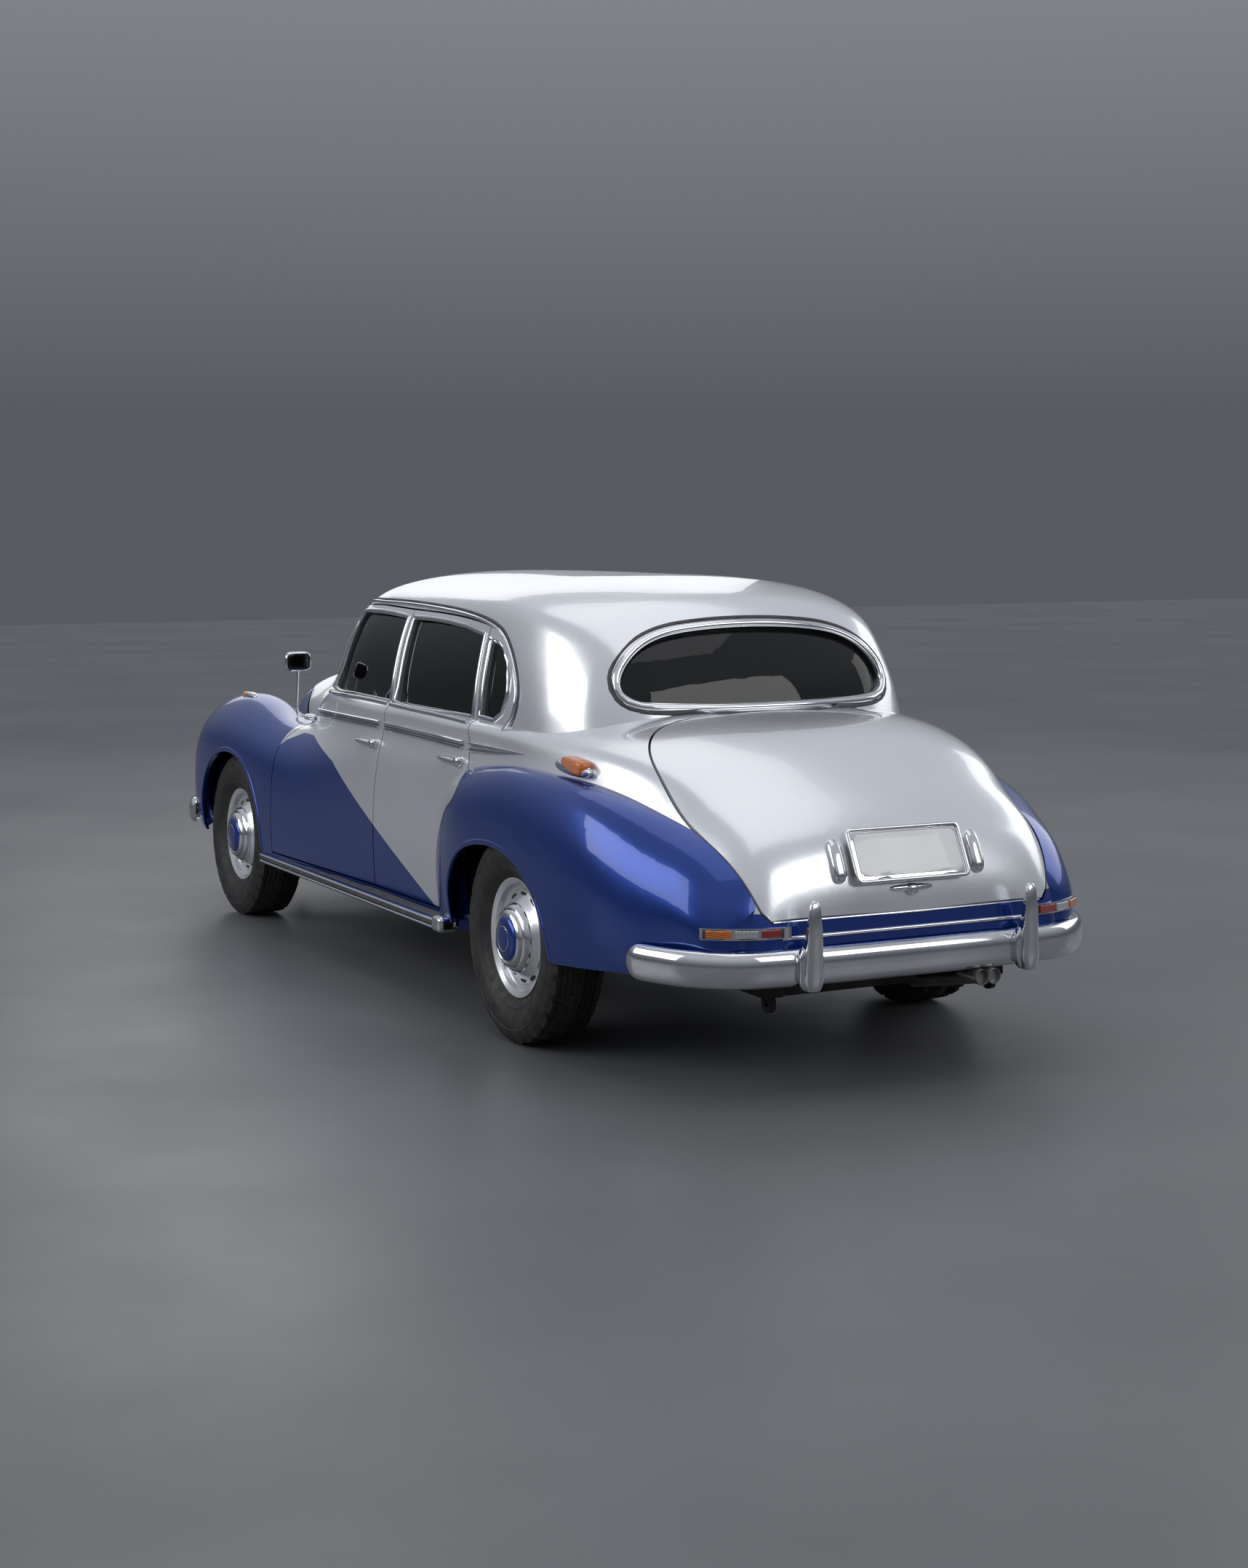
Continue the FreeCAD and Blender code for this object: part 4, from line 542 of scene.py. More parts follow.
# Placing the same piece on the left and the right
def trimmed(name, part, material, bodies="car_body"):
    """A left-hand part and its twin; bodies is one body, or a name with %s for the side."""
    vertices, faces = part
    for side, sign in SIDES.items():
        points = vertices if sign > 0 else mirrored(vertices)
        body = bodies % side if "%s" in bodies else bodies
        piece("%s_%s" % (name, side), (points, faces), material, body)


def window_trim(name, outline, nodes, body, width=0.022, height=0.007, grow=0.009):
    """A bright frame round a side window."""
    loop = smooth_corners(offset_loop(outline, grow), TRIM_STEP)
    trimmed(name, strip(on_side(surface(*nodes), loop), width, height, closed=True), chrome, body)


def smooth_corners(loop, step):
    """A closed 2-D loop with points at equal steps along its straight sides."""
    points = []
    for start, end in zip(loop, loop[1:] + loop[:1]):
        parts = max(1, int(round(math.dist(start, end) / step)))
        points += [(start[0] + (end[0] - start[0]) * k / parts, start[1] + (end[1] - start[1]) * k / parts)
                   for k in range(parts)]
    return points


def cut_by(hits, low, high):
    """The surface points between two places along the car."""
    return [hit for hit in hits if low <= hit[0].y <= high]


FRONT_WINDOW = [(-0.884, 1.09), (-0.738, 1.398), (-0.7, 1.419), (-0.61, 1.422), (-0.45, 1.424),
                (-0.28, 1.422), (-0.11, 1.419), (-0.11, 1.09)]
REAR_WINDOW = [(-0.033, 1.09), (-0.033, 1.419), (0.15, 1.417), (0.33, 1.413), (0.52, 1.403), (0.706, 1.386),
               (0.716, 1.09)]
QUARTER_WINDOW = [(0.786, 1.092), (0.78, 1.372), (0.86, 1.358), (0.93, 1.315), (0.975, 1.25), (0.985, 1.18),
                  (0.96, 1.12), (0.905, 1.092)]
BACK_WINDOW = [(0.0, 1.172), (0.3, 1.176), (0.48, 1.186), (0.53, 1.215), (0.535, 1.26), (0.5, 1.32),
               (0.43, 1.375), (0.32, 1.412), (0.16, 1.43), (0.0, 1.435)]
WINDSCREEN = [(0.0, 1.182), (0.42, 1.15), (0.6, 1.12), (0.588, 1.2), (0.56, 1.3), (0.525, 1.39),
              (0.48, 1.435), (0.25, 1.462), (0.0, 1.47)]
# side outlines (y, z)
DRIP_RAIL = [(-0.8, 1.372), (-0.765, 1.435), (-0.7, 1.462), (-0.457, 1.468), (-0.1, 1.47), (0.25, 1.464),
             (0.5, 1.453), (0.72, 1.432), (0.86, 1.4), (0.96, 1.34), (1.035, 1.26), (1.072, 1.18),
             (1.062, 1.11), (1.02, 1.058)]
BELT_LOW = [(-1.02, 0.972), (-0.791, 0.978), (-0.433, 0.987), (-0.076, 0.991), (0.388, 0.988), (0.76, 0.98)]
BELT_HIGH = [(-0.93, 1.066), (-0.549, 1.073), (-0.174, 1.075), (0.345, 1.073), (0.754, 1.064)]
SPEAR = [(0.772, 0.98), (0.9, 0.983), (1.02, 0.985), (1.13, 0.988), (1.22, 0.991)]
REAR_ARCH = [(0.795, 0.34), (0.812, 0.47), (0.88, 0.575), (1.0, 0.642), (1.16, 0.672), (1.33, 0.665),
             (1.47, 0.62), (1.59, 0.53), (1.655, 0.42), (1.672, 0.345)]
FRONT_ARCH = [(-1.3, 0.345), (-1.33, 0.48), (-1.405, 0.612), (-1.53, 0.706), (-1.7, 0.745), (-1.87, 0.722),
              (-2.02, 0.64), (-2.12, 0.51), (-2.16, 0.36)]

# Window frames on the doors and the quarters
window_trim("front_window_frame", FRONT_WINDOW, ["door_front_left"], "door_front_%s")
window_trim("rear_window_frame", REAR_WINDOW, ["door_rear_left"], "door_rear_%s")
window_trim("quarter_window_frame", QUARTER_WINDOW, ["roof_shell", "body_shell"], "car_body")
window_trim("front_window_seal", FRONT_WINDOW, ["door_front_left"], "door_front_%s", 0.005, 0.0085, -0.004)


def end_loop(outline, grow):
    """A whole window outline from its left half, moved outwards."""
    loop = outline + [(-x, z) for x, z in reversed(outline[1:-1])]
    return flat_curve(offset_loop(loop, grow), closed=True)


roof_tree = surface("roof_shell", "body_shell")
for trim_name, outline, facing in (("back_window", BACK_WINDOW, 1), ("windscreen", WINDSCREEN, -1)):
    for part_name, width, height, grow, material in (("frame", 0.028, 0.012, 0.014, chrome),
                                                     ("seal", 0.016, 0.006, 0.033, trim_rubber)):
        hits = on_end(roof_tree, end_loop(outline, grow), facing)
        piece("%s_%s" % (trim_name, part_name), strip(hits, width, height, closed=True), material, "car_body")

# Drip rail and belt mouldings
RAIL_TAPER = 0.05
GUTTER_SHADE_OFFSET = 0.0125
BELOW_RAIL = (-0.4, 0.6)
DOOR_SPANS = (("front", -1.06, -0.082), ("rear", -0.062, 0.748))
rail_line = flat_curve(DRIP_RAIL)
trimmed("drip_rail", strip(on_side(roof_tree, rail_line), 0.016, 0.012, taper=RAIL_TAPER), chrome)
for trim_name, line, width, height, section, material in (
        ("belt_moulding", BELT_LOW, 0.034, 0.013, CHANNEL, chrome),
        ("sill_moulding", BELT_HIGH, 0.022, 0.011, BEAD, chrome),
        ("belt_line", BELT_LOW, 0.0075, 0.0105, BEAD, trim_rubber)):
    for end, low, high in DOOR_SPANS:
        hits = cut_by(on_side(surface("door_%s_left" % end), flat_curve(line)), low, high)
        trimmed("%s_%s" % (trim_name, end), strip(hits, width, height, section), material,
                "door_%s_%%s" % end)
# a dark strip beside the drip rail: painted shade of its gutter
outer_rail = offset_loop(rail_line + [BELOW_RAIL], GUTTER_SHADE_OFFSET)[1:-2]
trimmed("drip_gutter_shade", strip(on_side(roof_tree, outer_rail), 0.01, 0.006, taper=RAIL_TAPER), trim_rubber)
spear_hits = on_side(roof_tree, flat_curve(SPEAR, 0.02))


SPEAR_POWER, SPEAR_TIP, SPEAR_LEAST_HEIGHT = 1.6, 0.02, 0.3


def spear(hits, width, height):
    """A moulding that narrows to a point at its rear end."""
    count = len(hits)
    rings = []
    for index, (place, normal) in enumerate(hits):
        share = max(SPEAR_TIP, 1 - (index / (count - 1)) ** SPEAR_POWER)
        ahead = hits[min(index + 1, count - 1)][0] - hits[max(index - 1, 0)][0]
        across = ahead.normalized().cross(normal).normalized()
        rings.append([place + across * u * width * share + normal * v * height * max(share, SPEAR_LEAST_HEIGHT)
                      for u, v in CHANNEL])
    return loft(rings)


trimmed("spear_moulding", spear(spear_hits, 0.036, 0.015), chrome)

# Flanges of the wheel arches, kept inside the CAD box
LIP_WIDTH, LIP_HEIGHT = 0.02, 0.004
LIP_GROW = (0.012, 0.03)
ARCH_FOOT = 0.33
OUTWARD_LEAST = 0.2
lip_limit = CAD_BOX[1][0] - LIP_HEIGHT - 0.0001
for end, arch, centre_y, nodes in (("rear", REAR_ARCH, 1.24, ["rear_wings", "body_shell"]),
                                   ("front", FRONT_ARCH, -1.72, ["front_wings"])):
    grown = [(y + (y - centre_y) * LIP_GROW[0], z + (z - ARCH_FOOT) * LIP_GROW[1]) for y, z in arch]
    flank_hits = on_side(surface(*nodes), flat_curve(grown, 0.025))
    hits = [(Vector((min(place.x, lip_limit), place.y, place.z)), normal)
            for place, normal in flank_hits if normal.x > OUTWARD_LEAST]
    trimmed("%s_arch_lip" % end, strip(hits, LIP_WIDTH, LIP_HEIGHT), blue_paint)

# Chrome lines and lamps on the tail
def level_line(low, high, level, steps):
    """Points at one height between two places across the car."""
    return [(low + (high - low) * k / steps, level) for k in range(steps + 1)]


for trim_name, tree, edge_x, level, width, body in (
        ("lid_edge_moulding", surface("boot_lid"), 0.615, 0.562, 0.01, "boot_lid"),
        ("tail_moulding", surface("body_shell", "boot_lid"), 0.49, 0.514, 0.013, "car_body")):
    hits = on_end(tree, level_line(-edge_x, edge_x, level, 60), 1)
    piece(trim_name, strip(hits, width, 0.006), chrome, body)
CREASE = [(0.5, 1.149), (0.431, 1.16), (0.29, 1.1705), (0.133, 1.1735), (0.0, 1.174)]
crease_line = flat_curve(CREASE + [(-x, z) for x, z in reversed(CREASE[:-1])])
crease = strip(on_end(roof_tree, crease_line, 1), 0.013, 0.006, taper=0.2)
piece("deck_crease", crease, silver_paint, "car_body")

LAMP_LEVEL = 0.533
lamp_tree = surface("rear_lamps")
for lens_name, low, high, material in (("amber", 0.652, 0.716, amber_lens),
                                       ("clear", 0.574, 0.642, clear_lens),
                                       ("red", 0.5, 0.564, red_lens)):
    hits = on_end(lamp_tree, level_line(low, high, LAMP_LEVEL, 6), 1)
    trimmed("tail_lens_" + lens_name, strip(hits, 0.025, 0.006, FLAT), material)
lamp_hits = on_end(lamp_tree, level_line(0.486, 0.74, LAMP_LEVEL, 16), 1)
trimmed("tail_lamp_bed", strip(lamp_hits, 0.03, 0.002, FLAT), trim_rubber)

# Indicators: amber lenses in bright rims
INDICATOR = Vector((0.7536, 1.565, 0.9776))
indicator_turn = Matrix.Rotation(math.radians(-4), 3, "X")
for part_name, shift, sizes, power, material in (
        ("lens", (0.008, 0.034, 0.006), (0.06, 0.158, 0.058), 4.0, amber_lens),
        ("rim", (0.002, 0.006, -0.004), (0.072, 0.234, 0.046), 2.6, chrome)):
    shape = rounded(INDICATOR + Vector(shift), sizes, power, indicator_turn)
    trimmed("indicator_" + part_name, shape, material)
POD = Vector((0.735, -1.851, 0.987))
trimmed("wing_pod_lens", rounded(POD + Vector((0, -0.066, 0.0)), (0.044, 0.052, 0.034), 2.4), amber_lens)

# Head lamps
HEAD_LAMP = Vector((0.698, -2.394, 0.728))
FORWARDS = (0, -1, 0)
glass_profile = [(0.042, 0.0), (0.04, 0.035), (0.033, 0.065), (0.022, 0.086), (0.008, 0.1), (0.0, 0.102)]
rim_profile = [(-0.012, 0.108), (0.002, 0.112), (0.012, 0.109), (0.014, 0.102), (0.006, 0.097)]
trimmed("head_lamp_glass", turned(glass_profile, HEAD_LAMP, FORWARDS), clear_lens)
trimmed("head_lamp_rim", turned(rim_profile, HEAD_LAMP, FORWARDS), chrome)

# Number plate, left blank, in its bright carrier
PLATE = Vector((0, 2.4712, 0.7482))
PLATE_HALF = (0.197, 0.071)
PLATE_CORNER, CORNER_STEPS = 0.016, 6
PLATE_FACE = 0.004
plate_turn = Matrix.Rotation(math.radians(26), 3, "X")


def on_plate(local):
    return PLATE + plate_turn @ Vector(local)


def plate_frame():
    """A rim round the plate: a rolled edge on a thin back."""
    outline = []
    for sx, sz in ((1, 1), (-1, 1), (-1, -1), (1, -1)):
        for step in range(CORNER_STEPS + 1):
            angle = math.atan2(sz, sx) + (step / CORNER_STEPS - 0.5) * math.pi / 2
            outline.append((sx * PLATE_HALF[0] + PLATE_CORNER * math.cos(angle),
                            sz * PLATE_HALF[1] + PLATE_CORNER * math.sin(angle)))
    loop = smooth_corners(outline, 0.02)
    hits = [(on_plate((x, PLATE_FACE, z)), plate_turn @ Vector((0, 1, 0))) for x, z in loop]
    return strip(hits, 0.013, 0.007, closed=True)


carrier = joined([plate_frame(), rounded(PLATE, (0.428, 0.006, 0.176), 14, plate_turn),
                  rounded(PLATE + Vector((0, -0.035, -0.01)), (0.215, 0.07, 0.09), 8, plate_turn)])
plate_lamps = joined([rounded((side * 0.2665, 2.452, 0.733), (0.048, 0.062, 0.146), 3.4, plate_turn)
                      for side in (1, -1)])
boot_handle = joined([rounded((0, 2.4882, 0.64), (0.168, 0.03, 0.022), 2.6),
                      rounded((0, 2.4942, 0.636), (0.046, 0.04, 0.036), 2.6)])
bright_fittings = piece("boot_brightwork", joined([carrier, plate_lamps, boot_handle]), chrome, "boot_lid")
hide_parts("boot_fittings")
blank_plate = rounded(on_plate((0, PLATE_FACE, 0)), (0.392, 0.004, 0.142), 14, plate_turn)
piece("number_plate", blank_plate, white_enamel, "boot_lid")
lamp_window = rounded((0.239, 2.456, 0.733), (0.012, 0.034, 0.1), 4, plate_turn)
trimmed("plate_lamp_window", lamp_window, clear_lens, "boot_lid")

# Bumpers: a bowed bar with overriders and their irons
REAR_BAR = [(0, 2.548), (0.31, 2.544), (0.52, 2.528), (0.64, 2.498), (0.735, 2.43), (0.8, 2.35),
            (0.845, 2.25), (0.872, 2.16)]
FRONT_BAR = [(0, 2.548), (0.35, 2.544), (0.6, 2.526), (0.74, 2.486), (0.84, 2.41), (0.893, 2.31),
             (0.912, 2.23)]
BAR_BASE, BAR_HEIGHT, BAR_DEPTH = 0.362, 0.118, 0.032
BAR_END_REACH, BAR_END_SHARE = 0.05, 0.62
BAR_BACK = (0.42, 0.2, 0.0, -0.2, -0.42)
BAR_BACK_INSET = 0.006
BAR_STEPS, BAR_OUT_POWER, BAR_UP_POWER = 24, 0.8, 0.9
IRON_LEVEL, IRON_WIDTH, IRON_THICK, IRON_REAR = 0.372, 0.068, 0.02, 2.528
# overrider rings: (height, front y, back y, width)
OVERRIDER = [(0.35, 2.566, 2.548, 0.026), (0.355, 2.578, 2.538, 0.046), (0.368, 2.5845, 2.532, 0.057),
             (0.39, 2.588, 2.529, 0.068), (0.42, 2.5892, 2.528, 0.068), (0.45, 2.5885, 2.527, 0.063),
             (0.48, 2.5885, 2.528, 0.06), (0.51, 2.589, 2.54, 0.057), (0.545, 2.5885, 2.55, 0.052),
             (0.58, 2.5865, 2.5555, 0.045), (0.605, 2.5835, 2.559, 0.041), (0.622, 2.58, 2.562, 0.035),
             (0.632, 2.576, 2.564, 0.026), (0.636, 2.572, 2.567, 0.012)]
OVERRIDER_X, OVERRIDER_STEPS, OVERRIDER_POWER = 0.414, 28, 0.75


def bumper_bar(points):
    """The bar: a rolled section along its plan line, rounded off at both ends."""
    half_line = smooth_points([(x, y, 0) for x, y in points], 0.022)
    line = [Vector((-p.x, p.y, 0)) for p in reversed(half_line[1:])] + half_line
    rings = []
    for index, place in enumerate(line):
        ahead, behind = line[min(index + 1, len(line) - 1)], line[max(index - 1, 0)]
        along = (ahead - behind).normalized()
        outwards = Vector((-along.y, along.x, 0))
        if outwards.y < 0 and abs(place.x) < 0.5:
            outwards = -outwards
        to_end = min((place - line[0]).length, (place - line[-1]).length)
        size = 1.0
        if to_end < BAR_END_REACH:
            round_off = math.sqrt(max(0.0, 1 - (1 - to_end / BAR_END_REACH) ** 2))
            size = BAR_END_SHARE + (1 - BAR_END_SHARE) * round_off
        ring = []
        for step in range(BAR_STEPS + 1):
            angle = math.pi * (step / BAR_STEPS - 0.5)
            out = max(0.0, math.cos(angle)) ** BAR_OUT_POWER
            up = 0.5 * signed_power(math.sin(angle), BAR_UP_POWER)
            ring.append(place - outwards * BAR_DEPTH * (1 - out * size)
                        + Vector((0, 0, BAR_BASE + BAR_HEIGHT * (0.5 + up * size))))
        for up in BAR_BACK:
            ring.append(place - outwards * (BAR_DEPTH - BAR_BACK_INSET)
                        + Vector((0, 0, BAR_BASE + BAR_HEIGHT * (0.5 + up * size))))
        rings.append(ring)
    return loft(rings)


def overrider(side):
    """One overrider, bulbous at its foot and narrower at its top."""
    rings = []
    for level, front, back, width in OVERRIDER:
        ring = []
        for step in range(OVERRIDER_STEPS):
            angle = 2 * math.pi * step / OVERRIDER_STEPS
            across = signed_power(math.cos(angle), OVERRIDER_POWER)
            along = signed_power(math.sin(angle), OVERRIDER_POWER)
            ring.append(Vector((side * OVERRIDER_X + across * width / 2,
                                (front + back) / 2 + along * (front - back) / 2, level)))
        rings.append(ring)
    skirt = rounded((side * OVERRIDER_X, 2.546, 0.424), (0.088, 0.04, 0.146), 3.4)
    return joined([loft(rings), skirt])


def bumper_iron(x, front):
    centre = (x, (front + IRON_REAR) / 2, IRON_LEVEL)
    return rounded(centre, (IRON_WIDTH, IRON_REAR - front, IRON_THICK), 10, None, 24, 12)


def facing_end(part, way):
    """A part of the rear bumper, turned to the front when way is -1."""
    return [Vector((p.x, p.y * way, p.z)) for p in part[0]], part[1]


for end, way, points, iron_x, iron_front in (("rear", 1, REAR_BAR, 0.43, 2.31),
                                             ("front", -1, FRONT_BAR, 0.3354, 2.29)):
    bright = joined([bumper_bar(points), overrider(1), overrider(-1)])
    irons = joined([bumper_iron(iron_x * side, iron_front) for side in (1, -1)])
    bar = piece(end + "_bumper_bar", facing_end(bright, way), chrome, "car_body")
    piece(end + "_bumper_irons", facing_end(irons, way), black_metal, "car_body")
    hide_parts(end + "_bumper")

# Door handles: a bar that is thicker at its lock
for end, place in (("front", Vector((0.8106, -0.2051, 0.9168))), ("rear", Vector((0.8087, 0.641, 0.9216)))):
    bar = rounded(place, (0.056, 0.222, 0.0285), 2.2)
    lock = rounded(place + Vector((0.004, 0.088, -0.001)), (0.044, 0.046, 0.04), 3.2, None, 24, 12)
    trimmed("door_handle_" + end, joined([bar, lock]), chrome, "door_%s_%%s" % end)

# Running boards
board_low, board_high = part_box("running_boards")
BOARD_OUTER, BOARD_REAR, BOARD_TOP = board_high
BOARD_FRONT = board_low.y
RIB_COUNT, RIB_PITCH = 8, 0.0135


def straight(x, z, low, high, normal, steps=24):
    """Surface points on a straight line along the car."""
    return [(Vector((x, low + (high - low) * k / steps, z)), Vector(normal)) for k in range(steps + 1)]


for trim_name, level, width, height, material in (
        ("board_rail_high", BOARD_TOP - 0.007, 0.012, 0.01, chrome),
        ("board_rubber", BOARD_TOP - 0.02, 0.014, 0.006, trim_rubber),
        ("board_rail_low", BOARD_TOP - 0.033, 0.012, 0.01, chrome)):
    line = straight(BOARD_OUTER, level, BOARD_FRONT + 0.02, BOARD_REAR - 0.05, (1, 0, 0))
    trimmed(trim_name, strip(line, width, height), material)
board_end = (BOARD_OUTER - 0.028, BOARD_REAR - 0.024, BOARD_TOP - 0.017)
trimmed("board_end", rounded(board_end, (0.084, 0.085, 0.06), 5), chrome)
ribs = joined([strip(straight(BOARD_OUTER - 0.02 - RIB_PITCH * k, BOARD_TOP, BOARD_FRONT + 0.03,
                              BOARD_REAR - 0.07, (0, 0, 1)), 0.008, 0.0035) for k in range(RIB_COUNT)])
trimmed("board_mat", ribs, trim_rubber)

# Exhaust tips
TIP_PROFILE = [(-0.09, 0.0255), (0.018, 0.0262), (0.02, 0.025), (0.018, 0.0235), (0.001, 0.023),
               (0.001, 0.0)]
exhaust_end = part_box("exhaust")[1]
for index, tip_x in enumerate((-0.2426, -0.2906)):
    piece("tailpipe_tip_%d" % index,
          turned(TIP_PROFILE, (tip_x, exhaust_end.y, exhaust_end.z - 0.024), (0, 1, 0), 48), steel, "car_body")

# Tyres with ribs and tread blocks, and the wheels' bright rings and coloured caps
WHEEL_RADIUS = 0.3665
TYRE_SEGMENTS = 210
TREAD_COLUMNS = [-0.086, -0.07, -0.0665, -0.052, -0.0485, -0.032, -0.0285, -0.014, -0.0105, 0.0105, 0.014,
                 0.0285, 0.032, 0.0485, 0.052, 0.0665, 0.07, 0.086]
GROOVES = {-0.0665, -0.0485, -0.0285, 0.0285, 0.0485, 0.0665}
GROOVE_DEPTH, BLOCK_DEPTH, SHOULDER_DEPTH = 0.009, 0.008, 0.006
SHOULDER_RADIUS = 0.325
TREAD_TOP = WHEEL_RADIUS - 0.0004
CROWN_DROP, CROWN_POWER = 0.0992, 1.25
BLOCK_WIDTH, BLOCK_PITCH = 0.018, 7
MIDDLE_TREAD = 0.03
SIDEWALL = [(0.0675, 0.1955), (0.07, 0.207), (0.08, 0.22), (0.089, 0.232), (0.0945, 0.24),
            (0.094, 0.2425), (0.0985, 0.248), (0.098, 0.2505), (0.102, 0.257), (0.106, 0.27),
            (0.1085, 0.286), (0.109, 0.3), (0.107, 0.313), (0.1085, 0.316), (0.1065, 0.319),
            (0.105, 0.329), (0.102, 0.338), (0.097, 0.346)]


def tyre_shape(centre):
    """A tyre's skin: sidewall ribs, and blocks cut into the tread and its shoulders."""
    vertices = []
    outer = [(x, r, "wall") for x, r in SIDEWALL]
    tread = [(x, TREAD_TOP - CROWN_DROP * abs(x) ** CROWN_POWER, "tread") for x in reversed(TREAD_COLUMNS)]
    profile = outer + tread + [(-x, r, kind) for x, r, kind in reversed(outer)]
    for step in range(TYRE_SEGMENTS):
        angle = 2 * math.pi * step / TYRE_SEGMENTS
        for x, r, kind in profile:
            depth = 0.0
            slant = int(round((x + 0.2) / BLOCK_WIDTH))
            if kind == "tread":
                if x in GROOVES:
                    depth = GROOVE_DEPTH
                elif (step + slant * (1 if abs(x) > MIDDLE_TREAD else 2)) % BLOCK_PITCH == 0:
                    depth = BLOCK_DEPTH
            elif r > SHOULDER_RADIUS and (step // 2) % 4 == 0:
                depth = SHOULDER_DEPTH
            radius = r - depth
            vertices.append(Vector((centre.x + x, centre.y + math.sin(angle) * radius,
                                    centre.z + math.cos(angle) * radius)))
    return vertices, grid(TYRE_SEGMENTS, len(profile), True)


RING = [(0.0735, 0.1215), (0.079, 0.1222), (0.085, 0.118), (0.0905, 0.114), (0.096, 0.1075),
        (0.0975, 0.104), (0.104, 0.101), (0.111, 0.0945), (0.1145, 0.088), (0.113, 0.082),
        (0.1095, 0.079)]
CAP = [(0.1095, 0.08), (0.115, 0.077), (0.119, 0.07), (0.1225, 0.056), (0.125, 0.04),
       (0.1265, 0.02), (0.127, 0.0)]
CAP_RING = [(0.118, 0.0455), (0.1262, 0.045), (0.1268, 0.0435), (0.1262, 0.042), (0.118, 0.041)]
SLOT_COUNT, SLOT_RADIUS = 12, 0.15
for end in ENDS:
    for side, sign in SIDES.items():
        place_name = "%s_%s" % (end, side)
        body = "wheel_" + place_name
        tyre_low, tyre_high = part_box("tyre_" + place_name)
        centre = (tyre_low + tyre_high) / 2
        tyre = piece("tyre_%s_tread" % place_name, tyre_shape(centre), rubber, body, angle=35)
        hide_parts("tyre_" + place_name)
        outwards = (sign, 0, 0)
        piece("cap_ring_" + place_name, turned(RING, centre, outwards), chrome, body)
        piece("hub_cap_" + place_name, turned(CAP, centre, outwards), blue_paint, body)
        piece("cap_bead_" + place_name, turned(CAP_RING, centre, outwards, 72), chrome, body)
        disc = surface(body)
        # black pads on the disc: painted shade of its pressed vents
        slot_shades = []
        for index in range(SLOT_COUNT):
            angle = 2 * math.pi * index / SLOT_COUNT
            out = Vector((0, math.cos(angle), math.sin(angle)))
            hit = cast(disc, centre + out * SLOT_RADIUS + Vector((sign * 0.3, 0, 0)), (-sign, 0, 0))
            if hit:
                turn = Matrix((outwards, out, Vector(outwards).cross(out))).transposed()
                slot_shades.append(rounded(hit[0], (0.006, 0.016, 0.04), 3.0, turn, 20, 10))
        piece("wheel_slot_shades_" + place_name, joined(slot_shades), black_metal, body)


# Seats
BULGE, CROWN_SHARE = 0.014, 0.8
FLUTES, FLUTED_FROM = 14, 0.06
CUSHION_COLUMNS, CUSHION_STEPS, CUSHION_POWER = 96, 36, 0.45
END_ROUNDING = 0.02


def cushion(low, high, along_depth):
    """A fluted cushion between two corners: its section is rounded and its channels run up or back."""
    low, high = Vector(low), Vector(high)
    middle, size = (low + high) / 2, high - low
    rings = []
    for column in range(CUSHION_COLUMNS + 1):
        share = column / CUSHION_COLUMNS
        edge = min(share, 1 - share)
        pull = 1 - 0.5 * max(0.0, 1 - edge / END_ROUNDING) ** 2
        flute = abs(math.sin(math.pi * share * FLUTES)) ** 0.5
        ring = []
        for index in range(CUSHION_STEPS):
            angle = 2 * math.pi * index / CUSHION_STEPS
            c, s = math.cos(angle), math.sin(angle)
            y = middle.y + signed_power(c, CUSHION_POWER) * size.y / 2 * pull
            z = middle.z + signed_power(s, CUSHION_POWER) * size.z / 2 * pull
            face = max(0.0, s) if along_depth else max(0.0, -c)
            sink = BULGE * face * (1 - flute) * (1 if edge > FLUTED_FROM else 0.3)
            rise = BULGE * CROWN_SHARE * (face * math.sin(math.pi * share) - 1) - sink
            if along_depth:
                z += rise
            else:
                y -= rise
            ring.append(Vector((low.x + size.x * share, y, z)))
        rings.append(ring)
    return loft(rings)


SEAT_EDGE = 0.004
CUSHION_SPAN, CUSHION_LEVELS = (0.002, 0.516), (0.4, 0.583)
SQUAB_SPAN, SQUAB_LEVELS = (0.486, 0.628), (0.56, 1.1)
for end in ENDS:
    seat_low, seat_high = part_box(end + "_seat")
    front_y, half_x = seat_low.y, seat_high.x

    def padding(name, span, levels, along_depth):
        low = (-half_x + SEAT_EDGE, front_y + span[0], levels[0])
        high = (half_x - SEAT_EDGE, front_y + span[1], levels[1])
        return piece(end + name, cushion(low, high, along_depth), leather, "car_body", angle=180)

    seat = padding("_cushion", CUSHION_SPAN, CUSHION_LEVELS, True)
    squab = padding("_backrest", SQUAB_SPAN, SQUAB_LEVELS, False)
    plinth = rounded((0, front_y + 0.29, 0.3755), (half_x * 1.7, 0.46, 0.05), 8)
    piece(end + "_seat_plinth", plinth, black_metal, "car_body")
    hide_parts(end + "_seat")


# Linings on the inner sides of the doors
LINING_ROWS, LINING_COLUMNS = 26, 40
LINING_THICKNESS = 0.002
OUTER_SKIN = 0.87


def lining(tree, low, high):
    """A thin panel laid on the inner side of a left-hand door."""
    front, keep = [], {}
    for row in range(LINING_ROWS + 1):
        for column in range(LINING_COLUMNS + 1):
            y = low[0] + (high[0] - low[0]) * column / LINING_COLUMNS
            z = low[1] + (high[1] - low[1]) * row / LINING_ROWS
            hit = cast(tree, (0.3, y, z), (1, 0, 0))
            if hit and hit[0].x < OUTER_SKIN:
                keep[(row, column)] = len(front)
                front.append(hit[0] + Vector((-LINING_THICKNESS, 0, 0)))
    faces = []
    for row in range(LINING_ROWS):
        for column in range(LINING_COLUMNS):
            corners = [(row, column), (row, column + 1), (row + 1, column + 1), (row + 1, column)]
            if all(corner in keep for corner in corners):
                faces.append([keep[corner] for corner in corners])
    return front, faces


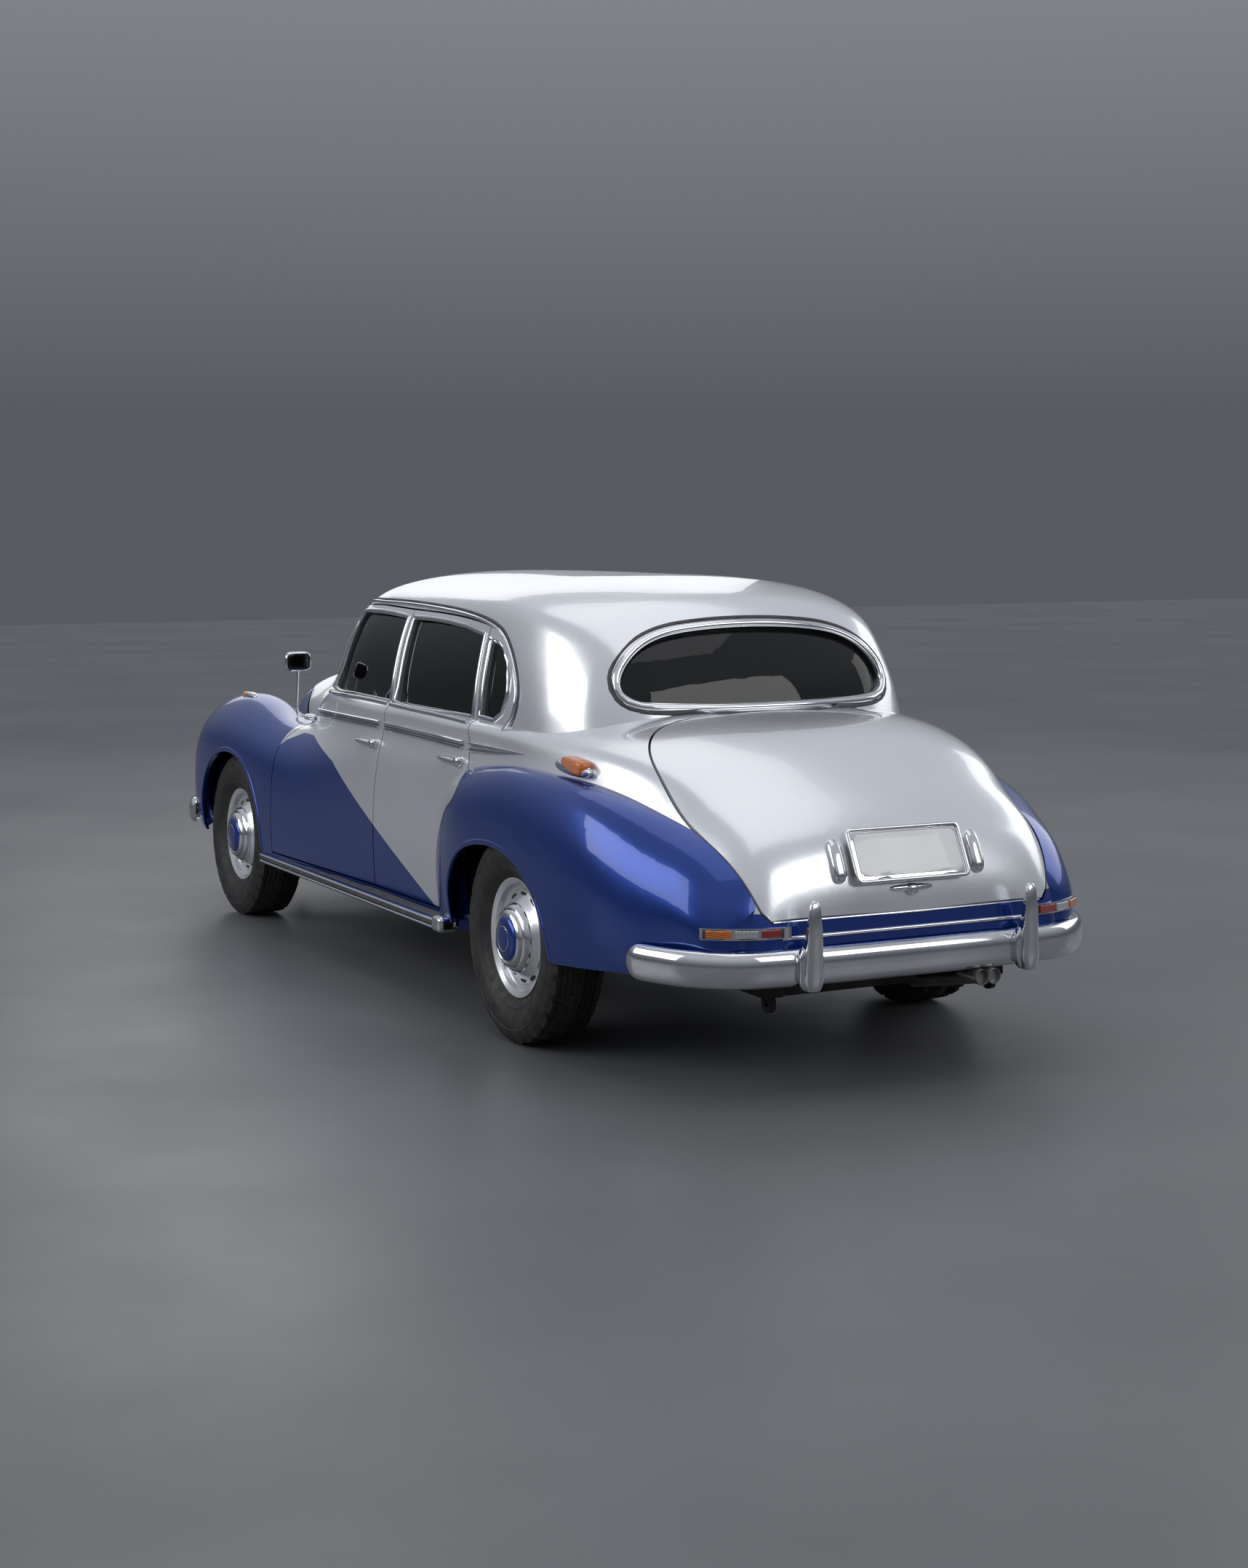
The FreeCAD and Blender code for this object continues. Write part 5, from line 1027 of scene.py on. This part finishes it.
for end, low, high in (("front", (-1.07, 0.4), (-0.1, 1.02)), ("rear", (-0.04, 0.4), (0.56, 1.02))):
    panel = lining(surface("door_%s_left" % end), low, high)
    trimmed("door_lining_" + end, panel, leather, "door_%s_%%s" % end)

# Dials on the dashboard
DIAL_FACE = [(0.004, 0.0), (0.0045, 0.028), (0.003, 0.034)]
DIAL_RING = [(0.0, 0.038), (0.007, 0.038), (0.008, 0.036), (0.006, 0.033), (0.003, 0.032)]
dash_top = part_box("dashboard")[1].z
dash_tree = surface("dashboard")
for index, dial_x in enumerate((0.24, 0.37, 0.5)):
    place = cast(dash_tree, (dial_x, 0.0, dash_top - 0.05), FORWARDS)[0]
    piece("dial_%d" % index, turned(DIAL_FACE, place, (0, 1, 0), 48), ivory, "car_body")
    piece("dial_ring_%d" % index, turned(DIAL_RING, place, (0, 1, 0), 48), chrome, "car_body")

# Mirrors on stalks that rise from an elbow
MIRROR = Vector((0.795, -1.062, 1.192))
MIRROR_FOOT = Vector((0.712, -1.139, 0.942))
STALK = [(0.712, -1.139, 0.943), (0.755, -1.103, 0.95), (0.79, -1.074, 0.966), (0.8, -1.063, 1.005),
         (0.798, -1.061, 1.08), (0.796, -1.06, 1.152)]
STALK_RADIUS = 0.0058


def rod(route, radius, sides=16):
    """A round bar along a smooth route."""
    points = smooth_points(route, 0.01)
    rings = []
    for index, place in enumerate(points):
        ahead, behind = points[min(index + 1, len(points) - 1)], points[max(index - 1, 0)]
        along = (ahead - behind).normalized()
        first = along.cross(Vector((0.6, -0.8, 0))).normalized()
        second = along.cross(first)
        angles = [2 * math.pi * k / sides for k in range(sides)]
        rings.append([place + (first * math.cos(a) + second * math.sin(a)) * radius for a in angles])
    return loft(rings)


vertices, faces = joined([rounded(MIRROR_FOOT, (0.046, 0.082, 0.028), 2.4), rod(STALK, STALK_RADIUS),
                          rounded(MIRROR + Vector((0, -0.004, 0)), (0.118, 0.034, 0.086), 4)])
mirror_pair = piece("mirror_brightwork", joined([(vertices, faces), (mirrored(vertices), faces)]), chrome,
                    "car_body")
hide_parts("mirrors")
trimmed("mirror_glass", rounded(MIRROR + Vector((0, 0.012, 0)), (0.104, 0.008, 0.072), 5), painted_shade_glass)

# Floor, lights and camera
bpy.ops.mesh.primitive_plane_add(size=60, location=(0, 0, 0))
floor = bpy.context.object
floor.name = "floor"
floor_material = varied("floor_mat", 0.0, ((0.16, 0.163, 0.17), (0.125, 0.128, 0.135)), 0.6, (0.32, 0.46), 30,
                        0.0004)
floor.data.materials.append(floor_material)


def area_light(name, place, target, size, power, size_y):
    """A soft light that faces its target."""
    data = bpy.data.lights.new(name, "AREA")
    data.shape = "RECTANGLE"
    data.size = size
    data.size_y = size_y
    data.energy = power
    made = bpy.data.objects.new(name, data)
    made.location = place
    made.rotation_euler = (Vector(target) - Vector(place)).to_track_quat("-Z", "Y").to_euler()
    bpy.context.scene.collection.objects.link(made)


area_light("overhead_softbox", (0, 0.5, 6.0), (0, 0.3, 0), 5.0, 80, 9.0)
area_light("rear_softbox", (-2.5, 8.5, 4.2), (0, 1.5, 0.7), 5.0, 105, 3.0)
area_light("left_softbox", (8.0, -1.0, 4.2), (0.5, -0.3, 0.8), 8.0, 260, 4.0)
area_light("front_softbox", (-2.5, -8.0, 4.0), (0, -1.5, 0.8), 6.0, 65, 4.0)
area_light("right_softbox", (-8.0, 0.5, 4.0), (-0.5, 0, 0.8), 8.0, 120, 4.0)

world = bpy.data.worlds.new("studio")
bpy.context.scene.world = world
world.use_nodes = True
nodes, links = world.node_tree.nodes, world.node_tree.links
background = nodes["Background"]
sky = nodes.new("ShaderNodeTexCoord")
height_split = nodes.new("ShaderNodeSeparateXYZ")
ramp = nodes.new("ShaderNodeValToRGB")
for element, position, color in zip(ramp.color_ramp.elements, (0.04, 0.55),
                                    ((0.13, 0.14, 0.16, 1), (0.62, 0.65, 0.7, 1))):
    element.position = position
    element.color = color
links.new(sky.outputs["Generated"], height_split.inputs[0])
links.new(height_split.outputs["Z"], ramp.inputs["Fac"])
links.new(ramp.outputs["Color"], background.inputs["Color"])
background.inputs["Strength"].default_value = 0.75

camera_data = bpy.data.cameras.new("photo_camera")
camera_data.sensor_width = SENSOR
camera_data.lens = FOCAL_PIXELS * SENSOR / max(PHOTO_SIZE)
camera_data.shift_y = SHIFT_PIXELS / max(PHOTO_SIZE)
camera_data.clip_end = 200
camera = bpy.data.objects.new("photo_camera", camera_data)
camera.location = CAMERA_PLACE
camera.rotation_euler = (math.radians(90), 0, CAMERA_HEADING)
bpy.context.scene.collection.objects.link(camera)
bpy.context.scene.camera = camera
bpy.context.scene.view_settings.view_transform = "Standard"
